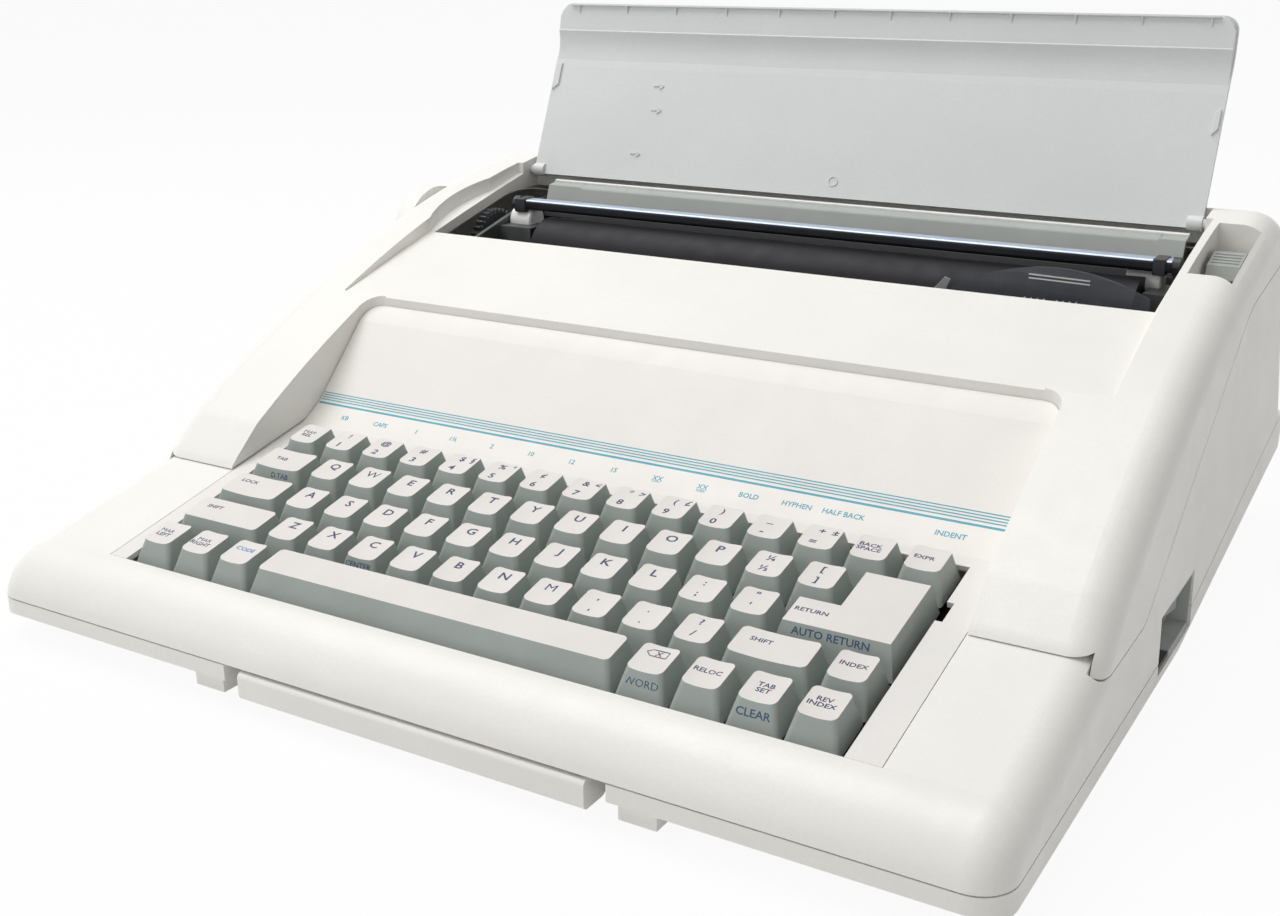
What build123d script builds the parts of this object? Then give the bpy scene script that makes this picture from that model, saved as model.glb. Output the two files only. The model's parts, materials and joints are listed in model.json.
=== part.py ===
"""Electric typewriter with a hinged lid, in millimetres.

X runs to the typist's right, Y to the rear and Z up. Z = 0 is the table under the feet,
and X = Y = 0 is the middle of the four feet. The lid stands open, as in normal use.
"""

from math import atan2, cos, degrees, hypot, pi, radians, sin, tan
import os

from build123d import *

os.makedirs("parts", exist_ok=True)

# Case: a thin tray below, a wide body, and a tall hood over the printing mechanism
CASE_WIDTH = 390.0
FRONT_Y = -186.0
REAR_Y = 188.0
WALL = 2.5
FOOT_HEIGHT = 4.0
SIDE_DRAFT = 1.5
SLAB_HEIGHT = 170.0
EDGE_RADIUS = 12.0
EDGE_INSIDE = 9.0
TURN_RADIUS = 14.0
SEAM_GAP = 0.5

# Seam between the tray and the body: level in front, then rising to the rear
SEAM_Z = 16.0
SEAM_KINK_Y = 3.0
SEAM_RISE = 9.8
TRAY_EDGE = 6.0
TRAY_TUCK = 13.0

# Deck: the plane round the keyboard, tilted up to the rear
DECK_TILT = 12.2
DECK_Y = -165.0
DECK_Z = 33.2

# Hood: its front edge, the top arc, and the seam along its sides
HOOD_FRONT_Y = -104.0
HOOD_START = (-86.0, 62.0)
HOOD_MIDDLE = (5.0, 108.0)
HOOD_END = (136.0, 142.5)
HOOD_REAR = (152.0, 139.0)
REAR_SHOULDER = (183.0, 60.0)
HOOD_SEAM_Z = 40.3
HOOD_SEAM_TURN_Y = -52.0
HOOD_SEAM_TOP = (86.0, 114.6)
HOOD_SEAM_REAR = (200.0, 127.0)

# Opening over the platen, and the lower field round it that the lid covers
OPENING_HALF = 165.0
OPENING_FRONT = 49.0
OPENING_REAR = 135.0
FIELD_HALF = 168.0
FIELD_START = (-12.0, 100.2)
FIELD_MIDDLE = (49.0, 117.2)
FIELD_END = (122.0, 135.2)
RIM = 2.0
RIM_DEPTH = 5.0
SCOOP_Y = 74.0
SCOOP_RADIUS = 60.0
SCOOP_DEPTH = 5.0

# Recess between the cheeks of the hood, with the indicator panel at its rear
RECESS_HALF = 152.6
RECESS_REAR = -12.0
RECESS_CORNER = 8.0
PANEL_FOOT = (-61.5, 54.8)
PANEL_BEND = (-49.0, 62.5)
PANEL_TOP = (-21.0, 91.0)
PANEL_REAR_Z = 96.6
PANEL_THICKNESS = 2.5
PANEL_GAP = 0.3

# Keyboard
KEY_PITCH = 18.78
ROW_PITCH = 19.85
KEY_LEFT = -142.9
KEY_TOP_SIZE = (12.4, 13.0)
KEY_SKIRT_GAP = 0.95
KEY_TOP_SHIFT = 3.1
KEY_TOP_HEIGHT = 4.5
KEY_SKIRT_DROP = 5.0
KEY_WALL = 1.3
KEY_DISH = 0.5
KEY_TRAVEL = 3.5
FIRST_ROW = -39.9
ROW_RISE = (1.2, 0.2, 0.0, 0.5, 1.0)
STEM_RADIUS = 2.4
STEM_CLEARANCE = 0.3
KEY_PLATE_DEPTH = 9.2
KEY_PLATE_THICKNESS = 2.0
CIRCUIT_THICKNESS = 1.6
BEZEL_THICKNESS = 2.0
KEY_FIELD_MARGIN = 1.0
KEY_FIELD_RIGHT_MARGIN = 2.0

# Lid
LID_HALF = 162.6
LID_FOOT = (128.0, 135.0)
LID_PIVOT = (130.1, 136.5)
LID_FLAT_END = (149.9, 186.0)
LID_CURVE = (154.4, 195.0)
LID_LIP_START = (157.0, 203.4)
LID_LIP_END = (158.0, 216.0)
LID_THICKNESS = 2.2
LID_PIN_RADIUS = 2.2
LID_PIN_CLEARANCE = 0.1
LID_EAR_RADIUS = 3.2

# Platen and paper feed
PLATEN_Y = 92.0
PLATEN_Z = 103.5
PLATEN_RADIUS = 17.0
PLATEN_LEFT = -130.0
PLATEN_RIGHT = 150.0
SHAFT_RADIUS = 4.0
KNOB_RADIUS = 27.0
KNOB_LENGTH = 10.0
KNOB_X = -201.0
KNOB_RIM = 3.0
PRESSURE_RADIUS = 6.5
PRESSURE_GAP = 0.05
PRESSURE_SHAFT_RADIUS = 2.0
GEAR_TEETH = 36
PINION_TEETH = 12
GEAR_MODULE = 1.0
GEAR_WIDTH = 4.0
PINION_ANGLE = 210.0
GEAR_X = -162.0
FEED_MOTOR_RADIUS = 12.0
FEED_MOTOR_LENGTH = 12.0
BEARING_CLEARANCE = 0.08
BLOCK_SIZE = (20.0, 24.0)
BLOCK_Z = 104.0

# Paper bail
BAIL_Y = 96.0
BAIL_Z = 125.4
BAIL_PIVOT = (121.0, 112.0)
BAIL_ARM = 3.0
BAIL_BAR = (8.0, 5.0)

# Paper release, in a pocket on the right of the hood
POCKET_X = 179.0
POCKET_Y = 93.0
POCKET_SIZE = (16.0, 50.0)
POCKET_FLOOR = 108.0
POCKET_WALL = 1.8
LEVER_Y = 100.0
LEVER_Z = 88.0
LEVER_WIDTH = 5.0
LEVER_SLOT = 16.0

# Mechanism frame
FRAME_LEFT = -154.0
FRAME_RIGHT = 166.0
FRAME_THICKNESS = 2.0
FRAME_FRONT = 10.0
FRAME_REAR = 138.0
ROD_Y = 34.0
ROD_Z = 54.0
ROD_RADIUS = 5.0
CHANNEL_Y = 12.0
CHANNEL_LOW = 44.0
CHANNEL_HIGH = 99.0
CHANNEL_REAR = 25.0
SHEET = 2.0

# Carriage, shown near the right end of its travel
CARRIAGE_X = 103.0
CARRIAGE_HALF = 30.0
CARRIAGE_FRONT = 27.0
CARRIAGE_REAR = 66.0
CARRIAGE_LOW = 45.0
CARRIAGE_HIGH = 95.0
SLIDE_CLEARANCE = 0.3
WHEEL_DROP = 30.0
WHEEL_RADIUS = 33.0
WHEEL_Y = 70.2
WHEEL_THICKNESS = 0.8
WHEEL_PETALS = 48
MOTOR_RADIUS = 13.0
HAMMER_RADIUS = 2.0
HAMMER_REST = 66.6

# Belt drive of the carriage
PULLEY_Y = 19.5
PULLEY_Z = 66.0
PULLEY_RADIUS = 8.0
PULLEY_WIDTH = 5.0
PULLEY_LEFT = -138.0
PULLEY_RIGHT = 150.0
BELT_THICKNESS = 1.0

# Handle, power switch and the parts in the tray
HANDLE_HALF = 69.0
HANDLE_RECESS_HALF = 76.0
HANDLE_BAR = (12.0, 10.0)
HANDLE_LOW = 5.0
HANDLE_ARM_X = 58.0
HANDLE_ARM_WIDTH = 12.0
HANDLE_ARM_END = -92.0
TRAY_BLOCK = (79.0, 92.0)
SWITCH_Y = -4.0
SWITCH_LENGTH = 48.0
SWITCH_LOW = 11.5
SWITCH_HIGH = 33.0
SWITCH_DEPTH = 7.0
ROCKER_Z = 24.5
ROCKER_SIZE = (20.0, 11.0)
SCREW_X = 166.0
SCREW_YS = (-150.0, -72.0, 172.0)
SCREW_RADIUS = 2.0
BOSS_RADIUS = 5.0
BOSS_SPLIT = 19.0
FOOT_RADIUS = 9.0
FOOT_SPOTS = ((-150.0, -155.0), (150.0, -155.0), (-150.0, 155.0), (150.0, 155.0))
BOARD_SIZE = (190.0, 92.0)
BOARD_Z = 13.0
INLET_X = -140.0
INLET_SIZE = (24.0, 13.0)

HALF = CASE_WIDTH / 2
TILT = radians(DECK_TILT)
KEY_PLANE = Plane(
    origin=(0, DECK_Y + 50 * cos(TILT), DECK_Z + 50 * sin(TILT)),
    x_dir=(1, 0, 0),
    z_dir=(0, -sin(TILT), cos(TILT)),
)


def deck_z(y):
    """Height of the deck's surface at a depth y."""
    return DECK_Z + (y - DECK_Y) * tan(TILT)


def seam_z(y):
    """Height of the seam between tray and body."""
    return SEAM_Z + max(0.0, y - SEAM_KINK_Y) * tan(radians(SEAM_RISE))


def save(builder, name):
    """Label a finished piece and write it out."""
    builder.part.label = name
    export_step(builder.part, f"parts/{name}.step")


# The case is one form, drawn in by a wall for its inside, and later cut into its covers.


def slab(inset):
    """Block between the case's two drafted sides."""
    half = HALF - inset
    lean = SLAB_HEIGHT * tan(radians(SIDE_DRAFT))
    with BuildPart() as block:
        with BuildSketch(Plane.XZ):
            with BuildLine():
                Polyline(
                    (-half, 0), (half, 0), (half - lean, SLAB_HEIGHT), (lean - half, SLAB_HEIGHT),
                    close=True,
                )
            make_face()
        extrude(amount=2 * CASE_WIDTH, both=True)
    return block.part


def low_form(inset):
    """The wedge that carries the keyboard and runs under the hood."""
    back_z = deck_z(-40)
    sides = slab(inset)
    with BuildPart() as form:
        with BuildSketch(Plane.YZ):
            with BuildLine():
                Polyline(
                    (DECK_Y, DECK_Z), (-40, back_z), (REAR_Y - 2, back_z),
                    (REAR_Y, seam_z(REAR_Y)), (REAR_Y, seam_z(REAR_Y) - TRAY_EDGE),
                    (REAR_Y - TRAY_TUCK, FOOT_HEIGHT), (FRONT_Y + TRAY_TUCK, FOOT_HEIGHT),
                    (FRONT_Y, SEAM_Z - TRAY_EDGE), (FRONT_Y, SEAM_Z),
                )
                ThreePointArc((FRONT_Y, SEAM_Z), (FRONT_Y + 6.6, SEAM_Z + 12.0), (DECK_Y, DECK_Z))
            make_face()
            if inset:
                offset(amount=-inset)
        extrude(amount=HALF, both=True)
        add(sides, mode=Mode.INTERSECT)
        corners = form.edges().filter_by(
            lambda e: abs(e.center().X) > HALF - inset - 6
            and not e.is_interior
            and e.center().Y < -50
            and e.center().Z > SEAM_Z - TRAY_EDGE + 1
            and (abs(e.bounding_box().size.Y) > 5 or e.center().Y < FRONT_Y + 4)
        )
        fillet(corners, EDGE_RADIUS - inset)
    return form.part


def tall_form(inset):
    """The hood's block, from its cheeks to the rear of the case."""
    sides = slab(inset)
    with BuildPart() as form:
        with BuildSketch(Plane.YZ):
            with BuildLine():
                ThreePointArc(HOOD_START, HOOD_MIDDLE, HOOD_END)
                Polyline(
                    HOOD_END, HOOD_REAR, REAR_SHOULDER, (REAR_Y, seam_z(REAR_Y)),
                    (REAR_Y, 8), (HOOD_FRONT_Y, 8), (HOOD_FRONT_Y, deck_z(HOOD_FRONT_Y)), HOOD_START,
                )
            outline = make_face()
            if inset:
                outline = offset(amount=-inset)
            fillet(outline.vertices().filter_by(lambda v: v.Y > HOOD_SEAM_Z), TURN_RADIUS)
        extrude(amount=HALF, both=True)
        add(sides, mode=Mode.INTERSECT)
        corners = form.edges().filter_by(
            lambda e: abs(e.center().X) > HALF - inset - 8
            and e.center().Z > 32
            and e.bounding_box().size.X < 20
        )
        fillet(corners, EDGE_INSIDE if inset else EDGE_RADIUS)
    return form.part


def field_cut(inset, half):
    """What is taken off the hood's top so that the lid lies level with its sides."""
    with BuildPart() as cut:
        with BuildSketch(Plane.YZ):
            with BuildLine():
                ThreePointArc(FIELD_START, FIELD_MIDDLE, FIELD_END)
                Polyline(FIELD_END, (FIELD_END[0] + 2, 190), (FIELD_START[0], 190), FIELD_START)
            make_face()
            if inset:
                offset(amount=inset, kind=Kind.INTERSECTION)
        extrude(amount=half + inset, both=True)
    return cut.part


def tuck_cut(side, inset):
    """The slope under the tray's side edge, steeper where the seam rises."""
    edge = side * (HALF + 3 - inset)
    foot = side * (HALF - TRAY_TUCK - inset)
    low = FOOT_HEIGHT - 1 - inset
    with BuildPart() as cut:
        for y in (FRONT_Y - 5, SEAM_KINK_Y, REAR_Y + 5):
            with BuildSketch(Plane.XZ.offset(-y)):
                with BuildLine():
                    Polyline((edge, seam_z(y) - TRAY_EDGE + inset), (foot, low), (edge, low), close=True)
                make_face()
        loft(ruled=True)
    return cut.part


def below_seam(gap):
    """Everything below the seam between tray and body, moved by gap."""
    with BuildPart() as region:
        with BuildSketch(Plane.YZ):
            with BuildLine():
                Polyline(
                    (FRONT_Y - 20, -20), (REAR_Y + 20, -20), (REAR_Y + 20, seam_z(REAR_Y + 20) + gap),
                    (SEAM_KINK_Y, SEAM_Z + gap), (FRONT_Y - 20, SEAM_Z + gap), close=True,
                )
            make_face()
        extrude(amount=HALF + 20, both=True)
    return region.part


def hood_region(gap):
    """Everything above the hood's lower edge and behind its front edge."""
    with BuildPart() as region:
        with BuildSketch(Plane.YZ):
            with BuildLine():
                FilletPolyline(
                    (HOOD_FRONT_Y - gap, 200), (HOOD_FRONT_Y - gap, HOOD_SEAM_Z - gap),
                    (HOOD_SEAM_TURN_Y, HOOD_SEAM_Z - gap), (HOOD_SEAM_TOP[0], HOOD_SEAM_TOP[1] - gap),
                    (HOOD_SEAM_REAR[0], HOOD_SEAM_REAR[1] - gap),
                    radius=(8, 14, 60),
                )
                Polyline((HOOD_SEAM_REAR[0], HOOD_SEAM_REAR[1] - gap), (HOOD_SEAM_REAR[0], 200),
                         (HOOD_FRONT_Y - gap, 200))
            make_face()
        extrude(amount=HALF + 20, both=True)
    return region.part


LOW_OUTSIDE = low_form(0)
LOW_INSIDE = low_form(WALL)
TALL_OUTSIDE = tall_form(0)
TALL_INSIDE = tall_form(WALL)
FIELD = field_cut(0, FIELD_HALF)
FIELD_INSIDE = field_cut(WALL, FIELD_HALF)
SCREW_SPOTS = [(side * SCREW_X, y) for side in (-1, 1) for y in SCREW_YS]
DECK_PLANE = KEY_PLANE
REAR_PLANE = Plane(
    origin=(0, (HOOD_REAR[0] + 3 * REAR_SHOULDER[0]) / 4, (HOOD_REAR[1] + 3 * REAR_SHOULDER[1]) / 4),
    x_dir=(-1, 0, 0),
    z_dir=(0, HOOD_REAR[1] - REAR_SHOULDER[1], REAR_SHOULDER[0] - HOOD_REAR[0]),
)


def block(x, y, z, mode=Mode.ADD):
    """A box given by its ends along each axis."""
    with Locations(((x[0] + x[1]) / 2, (y[0] + y[1]) / 2, (z[0] + z[1]) / 2)):
        Box(abs(x[1] - x[0]), abs(y[1] - y[0]), abs(z[1] - z[0]), mode=mode)


def key_block(x, s, h, mode=Mode.ADD):
    """A box given by its ends along the keyboard's own axes."""
    middle = Location(((x[0] + x[1]) / 2, (s[0] + s[1]) / 2, (h[0] + h[1]) / 2))
    with Locations(KEY_PLANE.location * middle):
        Box(abs(x[1] - x[0]), abs(s[1] - s[0]), abs(h[1] - h[0]), mode=mode)


def post(x, y, z, radius, mode=Mode.ADD):
    """An upright round post between two heights."""
    with Locations((x, y, (z[0] + z[1]) / 2)):
        Cylinder(radius, z[1] - z[0], mode=mode)


def bar_x(x, y, z, radius, mode=Mode.ADD):
    """A round bar along X between two ends."""
    with Locations(Location(((x[0] + x[1]) / 2, y, z), (0, 90, 0))):
        Cylinder(radius, abs(x[1] - x[0]), mode=mode)


def bar_y(x, y, z, radius, mode=Mode.ADD):
    """A round bar along Y between two ends."""
    with Locations(Location((x, (y[0] + y[1]) / 2, z), (90, 0, 0))):
        Cylinder(radius, abs(y[1] - y[0]), mode=mode)


def side_bands(inner):
    """Everything farther out on X than a half width."""
    with BuildPart() as bands:
        for side in (-1, 1):
            block((side * inner, side * (HALF + 30)), (-300, 300), (-50, 300))
    return bands.part


def front_tray():
    """The tray's outside form, with the slopes under its sides."""
    with BuildPart() as form:
        add(LOW_OUTSIDE)
        add(tuck_cut(-1, 0), mode=Mode.SUBTRACT)
        add(tuck_cut(1, 0), mode=Mode.SUBTRACT)
    return form.part


def tray_inside():
    """The room inside the tray."""
    with BuildPart() as form:
        add(LOW_INSIDE)
        add(tuck_cut(-1, WALL), mode=Mode.SUBTRACT)
        add(tuck_cut(1, WALL), mode=Mode.SUBTRACT)
    return form.part


def handle_walls():
    """The walls of the handle's recess in the tray."""
    with BuildPart() as walls:
        block((-HANDLE_RECESS_HALF - WALL, HANDLE_RECESS_HALF + WALL), (-200, HANDLE_BACK + WALL),
              (0, SEAM_Z - SEAM_GAP / 2))
        add(TRAY_OUTSIDE, mode=Mode.INTERSECT)
    return walls.part


# Covers

TRAY_OUTSIDE = front_tray()
TRAY_INSIDE = tray_inside()
SWITCH_ROOM = ((HALF - SWITCH_DEPTH - 4, HALF + 5), (SWITCH_Y - SWITCH_LENGTH / 2, SWITCH_Y + SWITCH_LENGTH / 2))
FLOOR_Z = FOOT_HEIGHT + WALL
SIDE_ROOM = HALF - WALL - 3.3
HANDLE_BACK = FRONT_Y + HANDLE_BAR[0] + 0.5
ARM_Z = HANDLE_LOW + (HANDLE_BAR[1] - 4) / 2

with BuildPart() as bottom_case:
    add(TRAY_OUTSIDE)
    add(TRAY_INSIDE, mode=Mode.SUBTRACT)
    add(below_seam(-SEAM_GAP / 2), mode=Mode.INTERSECT)
    add(handle_walls())
    for side in (-1, 1):
        # Block under the front edge, beside the handle
        block((side * TRAY_BLOCK[0], side * TRAY_BLOCK[1]), (FRONT_Y + 2, FRONT_Y + TRAY_TUCK + 1),
              (FOOT_HEIGHT, SEAM_Z - TRAY_EDGE + 1))
    block((-HANDLE_RECESS_HALF, HANDLE_RECESS_HALF), (-210, HANDLE_BACK), (-5, 30), Mode.SUBTRACT)
    for side in (-1, 1):
        # Slot and slide of one arm of the handle
        block((side * HANDLE_ARM_X - 8.5, side * HANDLE_ARM_X + 8.5), (HANDLE_BACK + 1, HANDLE_ARM_END + 2),
              (FLOOR_Z - 1, ARM_Z - 0.1))
        for edge in (-1, 1):
            x = side * HANDLE_ARM_X + edge * 9.4
            block((x - 1, x + 1), (HANDLE_BACK + 1, HANDLE_ARM_END + 2), (FLOOR_Z - 1, ARM_Z + 5))
        block((side * HANDLE_ARM_X - HANDLE_ARM_WIDTH / 2 - 0.3, side * HANDLE_ARM_X + HANDLE_ARM_WIDTH / 2 + 0.3),
              (HANDLE_BACK - 2, HANDLE_BACK + WALL + 1), (ARM_Z - 0.1, ARM_Z + 4.3), Mode.SUBTRACT)
    for x, y in SCREW_SPOTS:
        post(x, y, (FLOOR_Z - 1, BOSS_SPLIT), BOSS_RADIUS)
    for x in (-140, -50, 40):
        for y in (-40, 42):
            post(x, y, (FLOOR_Z - 1, BOARD_Z), 3)
    for x, y in SCREW_SPOTS:
        post(x, y, (0, BOSS_SPLIT + 1), SCREW_RADIUS + 0.2, Mode.SUBTRACT)
        post(x, y, (0, FLOOR_Z), 4, Mode.SUBTRACT)
    for x, y in FOOT_SPOTS:
        post(x, y, (0, FLOOR_Z + 1), 3, Mode.SUBTRACT)
    block(SWITCH_ROOM[0], SWITCH_ROOM[1], (SWITCH_LOW, 60), Mode.SUBTRACT)
save(bottom_case, "bottom_case")


def low_shell():
    """The part of the body's wall round the keyboard."""
    with BuildPart() as sides_above_seam:
        add(hood_region(SEAM_GAP))
        add(side_bands(SIDE_ROOM), mode=Mode.INTERSECT)
    with BuildPart() as shell:
        add(LOW_OUTSIDE)
        add(LOW_INSIDE, mode=Mode.SUBTRACT)
        add(below_seam(SEAM_GAP / 2), mode=Mode.SUBTRACT)
        block((-HALF - 5, HALF + 5), (-300, -56), (0, 200), Mode.INTERSECT)
        add(sides_above_seam.part, mode=Mode.SUBTRACT)
    return shell.part


def tall_shell():
    """The part of the body's wall under the hood."""
    with BuildPart() as shell:
        add(TALL_OUTSIDE)
        add(TALL_INSIDE, mode=Mode.SUBTRACT)
        add(below_seam(SEAM_GAP / 2), mode=Mode.SUBTRACT)
        add(hood_region(SEAM_GAP), mode=Mode.SUBTRACT)
        block((-SIDE_ROOM, SIDE_ROOM), (HOOD_FRONT_Y - 5, HOOD_FRONT_Y + 5), (0, 60), Mode.SUBTRACT)
    return shell.part


LOW_SHELL = low_shell()
TALL_SHELL = tall_shell()

with BuildPart() as main_case:
    add(LOW_SHELL)
    add(TALL_SHELL)
    key_block((-RECESS_HALF + 0.3, RECESS_HALF - 0.3), (-50.4, 75), (-7, 20), Mode.SUBTRACT)
    for x, y in SCREW_SPOTS:
        if y < 0:
            post(x, y, (BOSS_SPLIT, deck_z(y) - 1.6), BOSS_RADIUS)
        else:
            post(x, y, (BOSS_SPLIT, 66), BOSS_RADIUS)
            with BuildSketch(Plane.YZ.offset(x)):
                with BuildLine():
                    Polyline((172, 51), (185.4, 51), (181.5, 60.3), (179.2, 66), (172, 66), close=True)
                make_face()
            extrude(amount=1.5, both=True)
    for x, y in SCREW_SPOTS:
        post(x, y, (BOSS_SPLIT - 1, BOSS_SPLIT + 11), SCREW_RADIUS, Mode.SUBTRACT)
    bar_x((-HALF - 5, -HALF + 10), PLATEN_Y, PLATEN_Z, SHAFT_RADIUS + 3, Mode.SUBTRACT)
    block(SWITCH_ROOM[0], SWITCH_ROOM[1], (0, SWITCH_HIGH), Mode.SUBTRACT)
    with Locations(REAR_PLANE.location * Location((-INLET_X, 0, 0))):
        Box(INLET_SIZE[0], INLET_SIZE[1], 20, mode=Mode.SUBTRACT)
save(main_case, "main_case")


def scoop(inset):
    """The thumb scoop beside the lid, on the left."""
    with BuildPart() as cut:
        add(field_cut(inset, FIELD_HALF + 20))
        with Locations((-FIELD_HALF - SCOOP_DEPTH + SCOOP_RADIUS, SCOOP_Y, 130)):
            Cylinder(SCOOP_RADIUS + inset, 120, mode=Mode.INTERSECT)
        block((-200, -150), (0, 150), (90, 200), Mode.INTERSECT)
    return cut.part


def recess(grow):
    """The plan of the recess between the cheeks, right through the hood."""
    half = RECESS_HALF + grow
    rear = RECESS_REAR + grow
    with BuildPart() as cut:
        with BuildSketch():
            with Locations((0, (rear - 130) / 2)):
                Rectangle(2 * half, rear + 130)
            fillet(vertices().group_by(Axis.Y)[-1], RECESS_CORNER + grow)
        extrude(amount=200)
    return cut.part


def recess_walls():
    """The walls round the recess, down to the deck and short behind the panel."""
    with BuildPart() as walls:
        add(recess(WALL))
        add(recess(0), mode=Mode.SUBTRACT)
        add(TALL_OUTSIDE, mode=Mode.INTERSECT)
        add(FIELD, mode=Mode.SUBTRACT)
        add(hood_region(0), mode=Mode.INTERSECT)
        key_block((-200, 200), (-60, 200), (-60, SEAM_GAP), Mode.SUBTRACT)
        with BuildSketch(Plane.YZ):
            with BuildLine():
                Polyline((-45, 30), (-20, 88), (0, 88), (0, 30), close=True)
            make_face()
        extrude(amount=250, both=True, mode=Mode.SUBTRACT)
    return walls.part


def opening_rim():
    """The rim round the platen's opening, with the sides that hold the lid's pins."""
    with BuildPart() as rim:
        block((-OPENING_HALF - RIM, OPENING_HALF + RIM), (OPENING_FRONT - RIM, OPENING_REAR + RIM), (90, 200))
        block((-OPENING_HALF, OPENING_HALF), (OPENING_FRONT, OPENING_REAR), (90, 200), Mode.SUBTRACT)
        with BuildSketch(Plane.YZ):
            with BuildLine():
                Polyline(
                    (OPENING_FRONT - RIM - 1, 80), (OPENING_FRONT - RIM - 1, 117 - RIM_DEPTH),
                    (110, 132.5 - RIM_DEPTH), (OPENING_REAR + RIM + 1, 128), (OPENING_REAR + RIM + 1, 80),
                    close=True,
                )
            make_face()
        extrude(amount=250, both=True, mode=Mode.SUBTRACT)
        add(TALL_OUTSIDE, mode=Mode.INTERSECT)
        add(FIELD, mode=Mode.SUBTRACT)
    return rim.part


def pocket_walls():
    """The pocket of the release lever, on the right."""
    with BuildPart() as walls:
        block((POCKET_X - POCKET_SIZE[0] / 2 - POCKET_WALL, POCKET_X + POCKET_SIZE[0] / 2 + POCKET_WALL),
              (POCKET_Y - POCKET_SIZE[1] / 2 - POCKET_WALL, POCKET_Y + POCKET_SIZE[1] / 2 + POCKET_WALL),
              (POCKET_FLOOR - POCKET_WALL, 200))
        add(TALL_OUTSIDE, mode=Mode.INTERSECT)
    return walls.part


def hood_outside():
    """The hood's outer form."""
    with BuildPart() as form:
        add(TALL_OUTSIDE)
        add(hood_region(0), mode=Mode.INTERSECT)
        add(FIELD, mode=Mode.SUBTRACT)
        add(scoop(0), mode=Mode.SUBTRACT)
    return form.part


def hood_inside():
    """The room under the hood."""
    with BuildPart() as form:
        add(TALL_INSIDE)
        add(FIELD_INSIDE, mode=Mode.SUBTRACT)
        add(scoop(WALL), mode=Mode.SUBTRACT)
    return form.part


HOOD_OUTSIDE = hood_outside()
HOOD_INSIDE = hood_inside()

with BuildPart() as top_hood:
    add(HOOD_OUTSIDE)
    add(HOOD_INSIDE, mode=Mode.SUBTRACT)
    add(recess(0), mode=Mode.SUBTRACT)
    key_block((-SIDE_ROOM - SEAM_GAP, SIDE_ROOM + SEAM_GAP), (-60, 60), (-60, SEAM_GAP), Mode.SUBTRACT)
    add(recess_walls())
    block((-OPENING_HALF, OPENING_HALF), (OPENING_FRONT, OPENING_REAR), (80, 200), Mode.SUBTRACT)
    add(opening_rim())
    add(pocket_walls())
    block((POCKET_X - POCKET_SIZE[0] / 2, POCKET_X + POCKET_SIZE[0] / 2),
          (POCKET_Y - POCKET_SIZE[1] / 2, POCKET_Y + POCKET_SIZE[1] / 2), (POCKET_FLOOR, 200), Mode.SUBTRACT)
    block((POCKET_X - LEVER_WIDTH / 2 - 0.5, POCKET_X + LEVER_WIDTH / 2 + 0.5),
          (LEVER_Y - 3 - LEVER_SLOT / 2, LEVER_Y - 3 + LEVER_SLOT / 2),
          (POCKET_FLOOR - 5, POCKET_FLOOR + 1), Mode.SUBTRACT)
    for side in (-1, 1):
        bar_x((side * (OPENING_HALF - 1), side * (OPENING_HALF + RIM + 1)), LID_PIVOT[0], LID_PIVOT[1],
              LID_PIN_RADIUS + LID_PIN_CLEARANCE, Mode.SUBTRACT)
save(top_hood, "top_hood")


# Keyboard frame and panel

BEZEL_REAR = 55.3
BEZEL_NOTCH = (2.4, 18.5, 29.0)
BEZEL_INNER_LEFT = KEY_LEFT - KEY_FIELD_MARGIN
BEZEL_INNER_RIGHT = KEY_LEFT + 15 * KEY_PITCH + KEY_FIELD_RIGHT_MARGIN
BEZEL_INNER_REAR = FIRST_ROW + 4.5 * ROW_PITCH + 0.3
PLATE_TOP = -KEY_PLATE_DEPTH
PLATE_LOW = PLATE_TOP - KEY_PLATE_THICKNESS
STEM_LOW = -13.5
CIRCUIT_TOP = STEM_LOW - KEY_TRAVEL - 0.3

with BuildPart() as keyboard_bezel:
    key_block((-152, 152), (-50.2, BEZEL_REAR), (-BEZEL_THICKNESS, 0))
    key_block((BEZEL_INNER_LEFT, BEZEL_INNER_RIGHT), (-60, BEZEL_INNER_REAR), (-5, 5), Mode.SUBTRACT)
    key_block((BEZEL_INNER_RIGHT - 1, BEZEL_INNER_RIGHT + BEZEL_NOTCH[0]), BEZEL_NOTCH[1:], (-5, 5), Mode.SUBTRACT)
    for side in (-1, 1):
        key_block((side * 150.4, side * 152), (-50.2, BEZEL_REAR), (PLATE_TOP, -BEZEL_THICKNESS + 0.5))
    key_block((-152, 152), (BEZEL_REAR - 1.6, BEZEL_REAR), (PLATE_TOP, -BEZEL_THICKNESS + 0.5))
save(keyboard_bezel, "keyboard_bezel")

with BuildPart() as indicator_panel:
    with BuildSketch(Plane.YZ):
        with BuildLine():
            Polyline(PANEL_FOOT, PANEL_BEND, PANEL_TOP)
            ThreePointArc(PANEL_TOP, (-16.2, 94.5), (RECESS_REAR - PANEL_GAP, PANEL_REAR_Z))
            Polyline(
                (RECESS_REAR - PANEL_GAP, PANEL_REAR_Z), (RECESS_REAR - PANEL_GAP, PANEL_REAR_Z - 2.9),
                (-19.2, 89.1), (-47.3, 60.6), (-60.2, 52.7), PANEL_FOOT,
            )
        make_face()
    extrude(amount=RECESS_HALF - PANEL_GAP, both=True)
    add(recess(-PANEL_GAP), mode=Mode.INTERSECT)
    for side in (-1, 1):
        for y, z in ((-30.0, 74.0), (-40.0, 63.5)):
            block((side * 148, side * RECESS_HALF), (y - 3, y + 3), (z - 3, z + 3))
save(indicator_panel, "indicator_panel")

# Keys

KEY_NAMES = {}
ROW_S = [FIRST_ROW + row * ROW_PITCH for row in range(5)]


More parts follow.
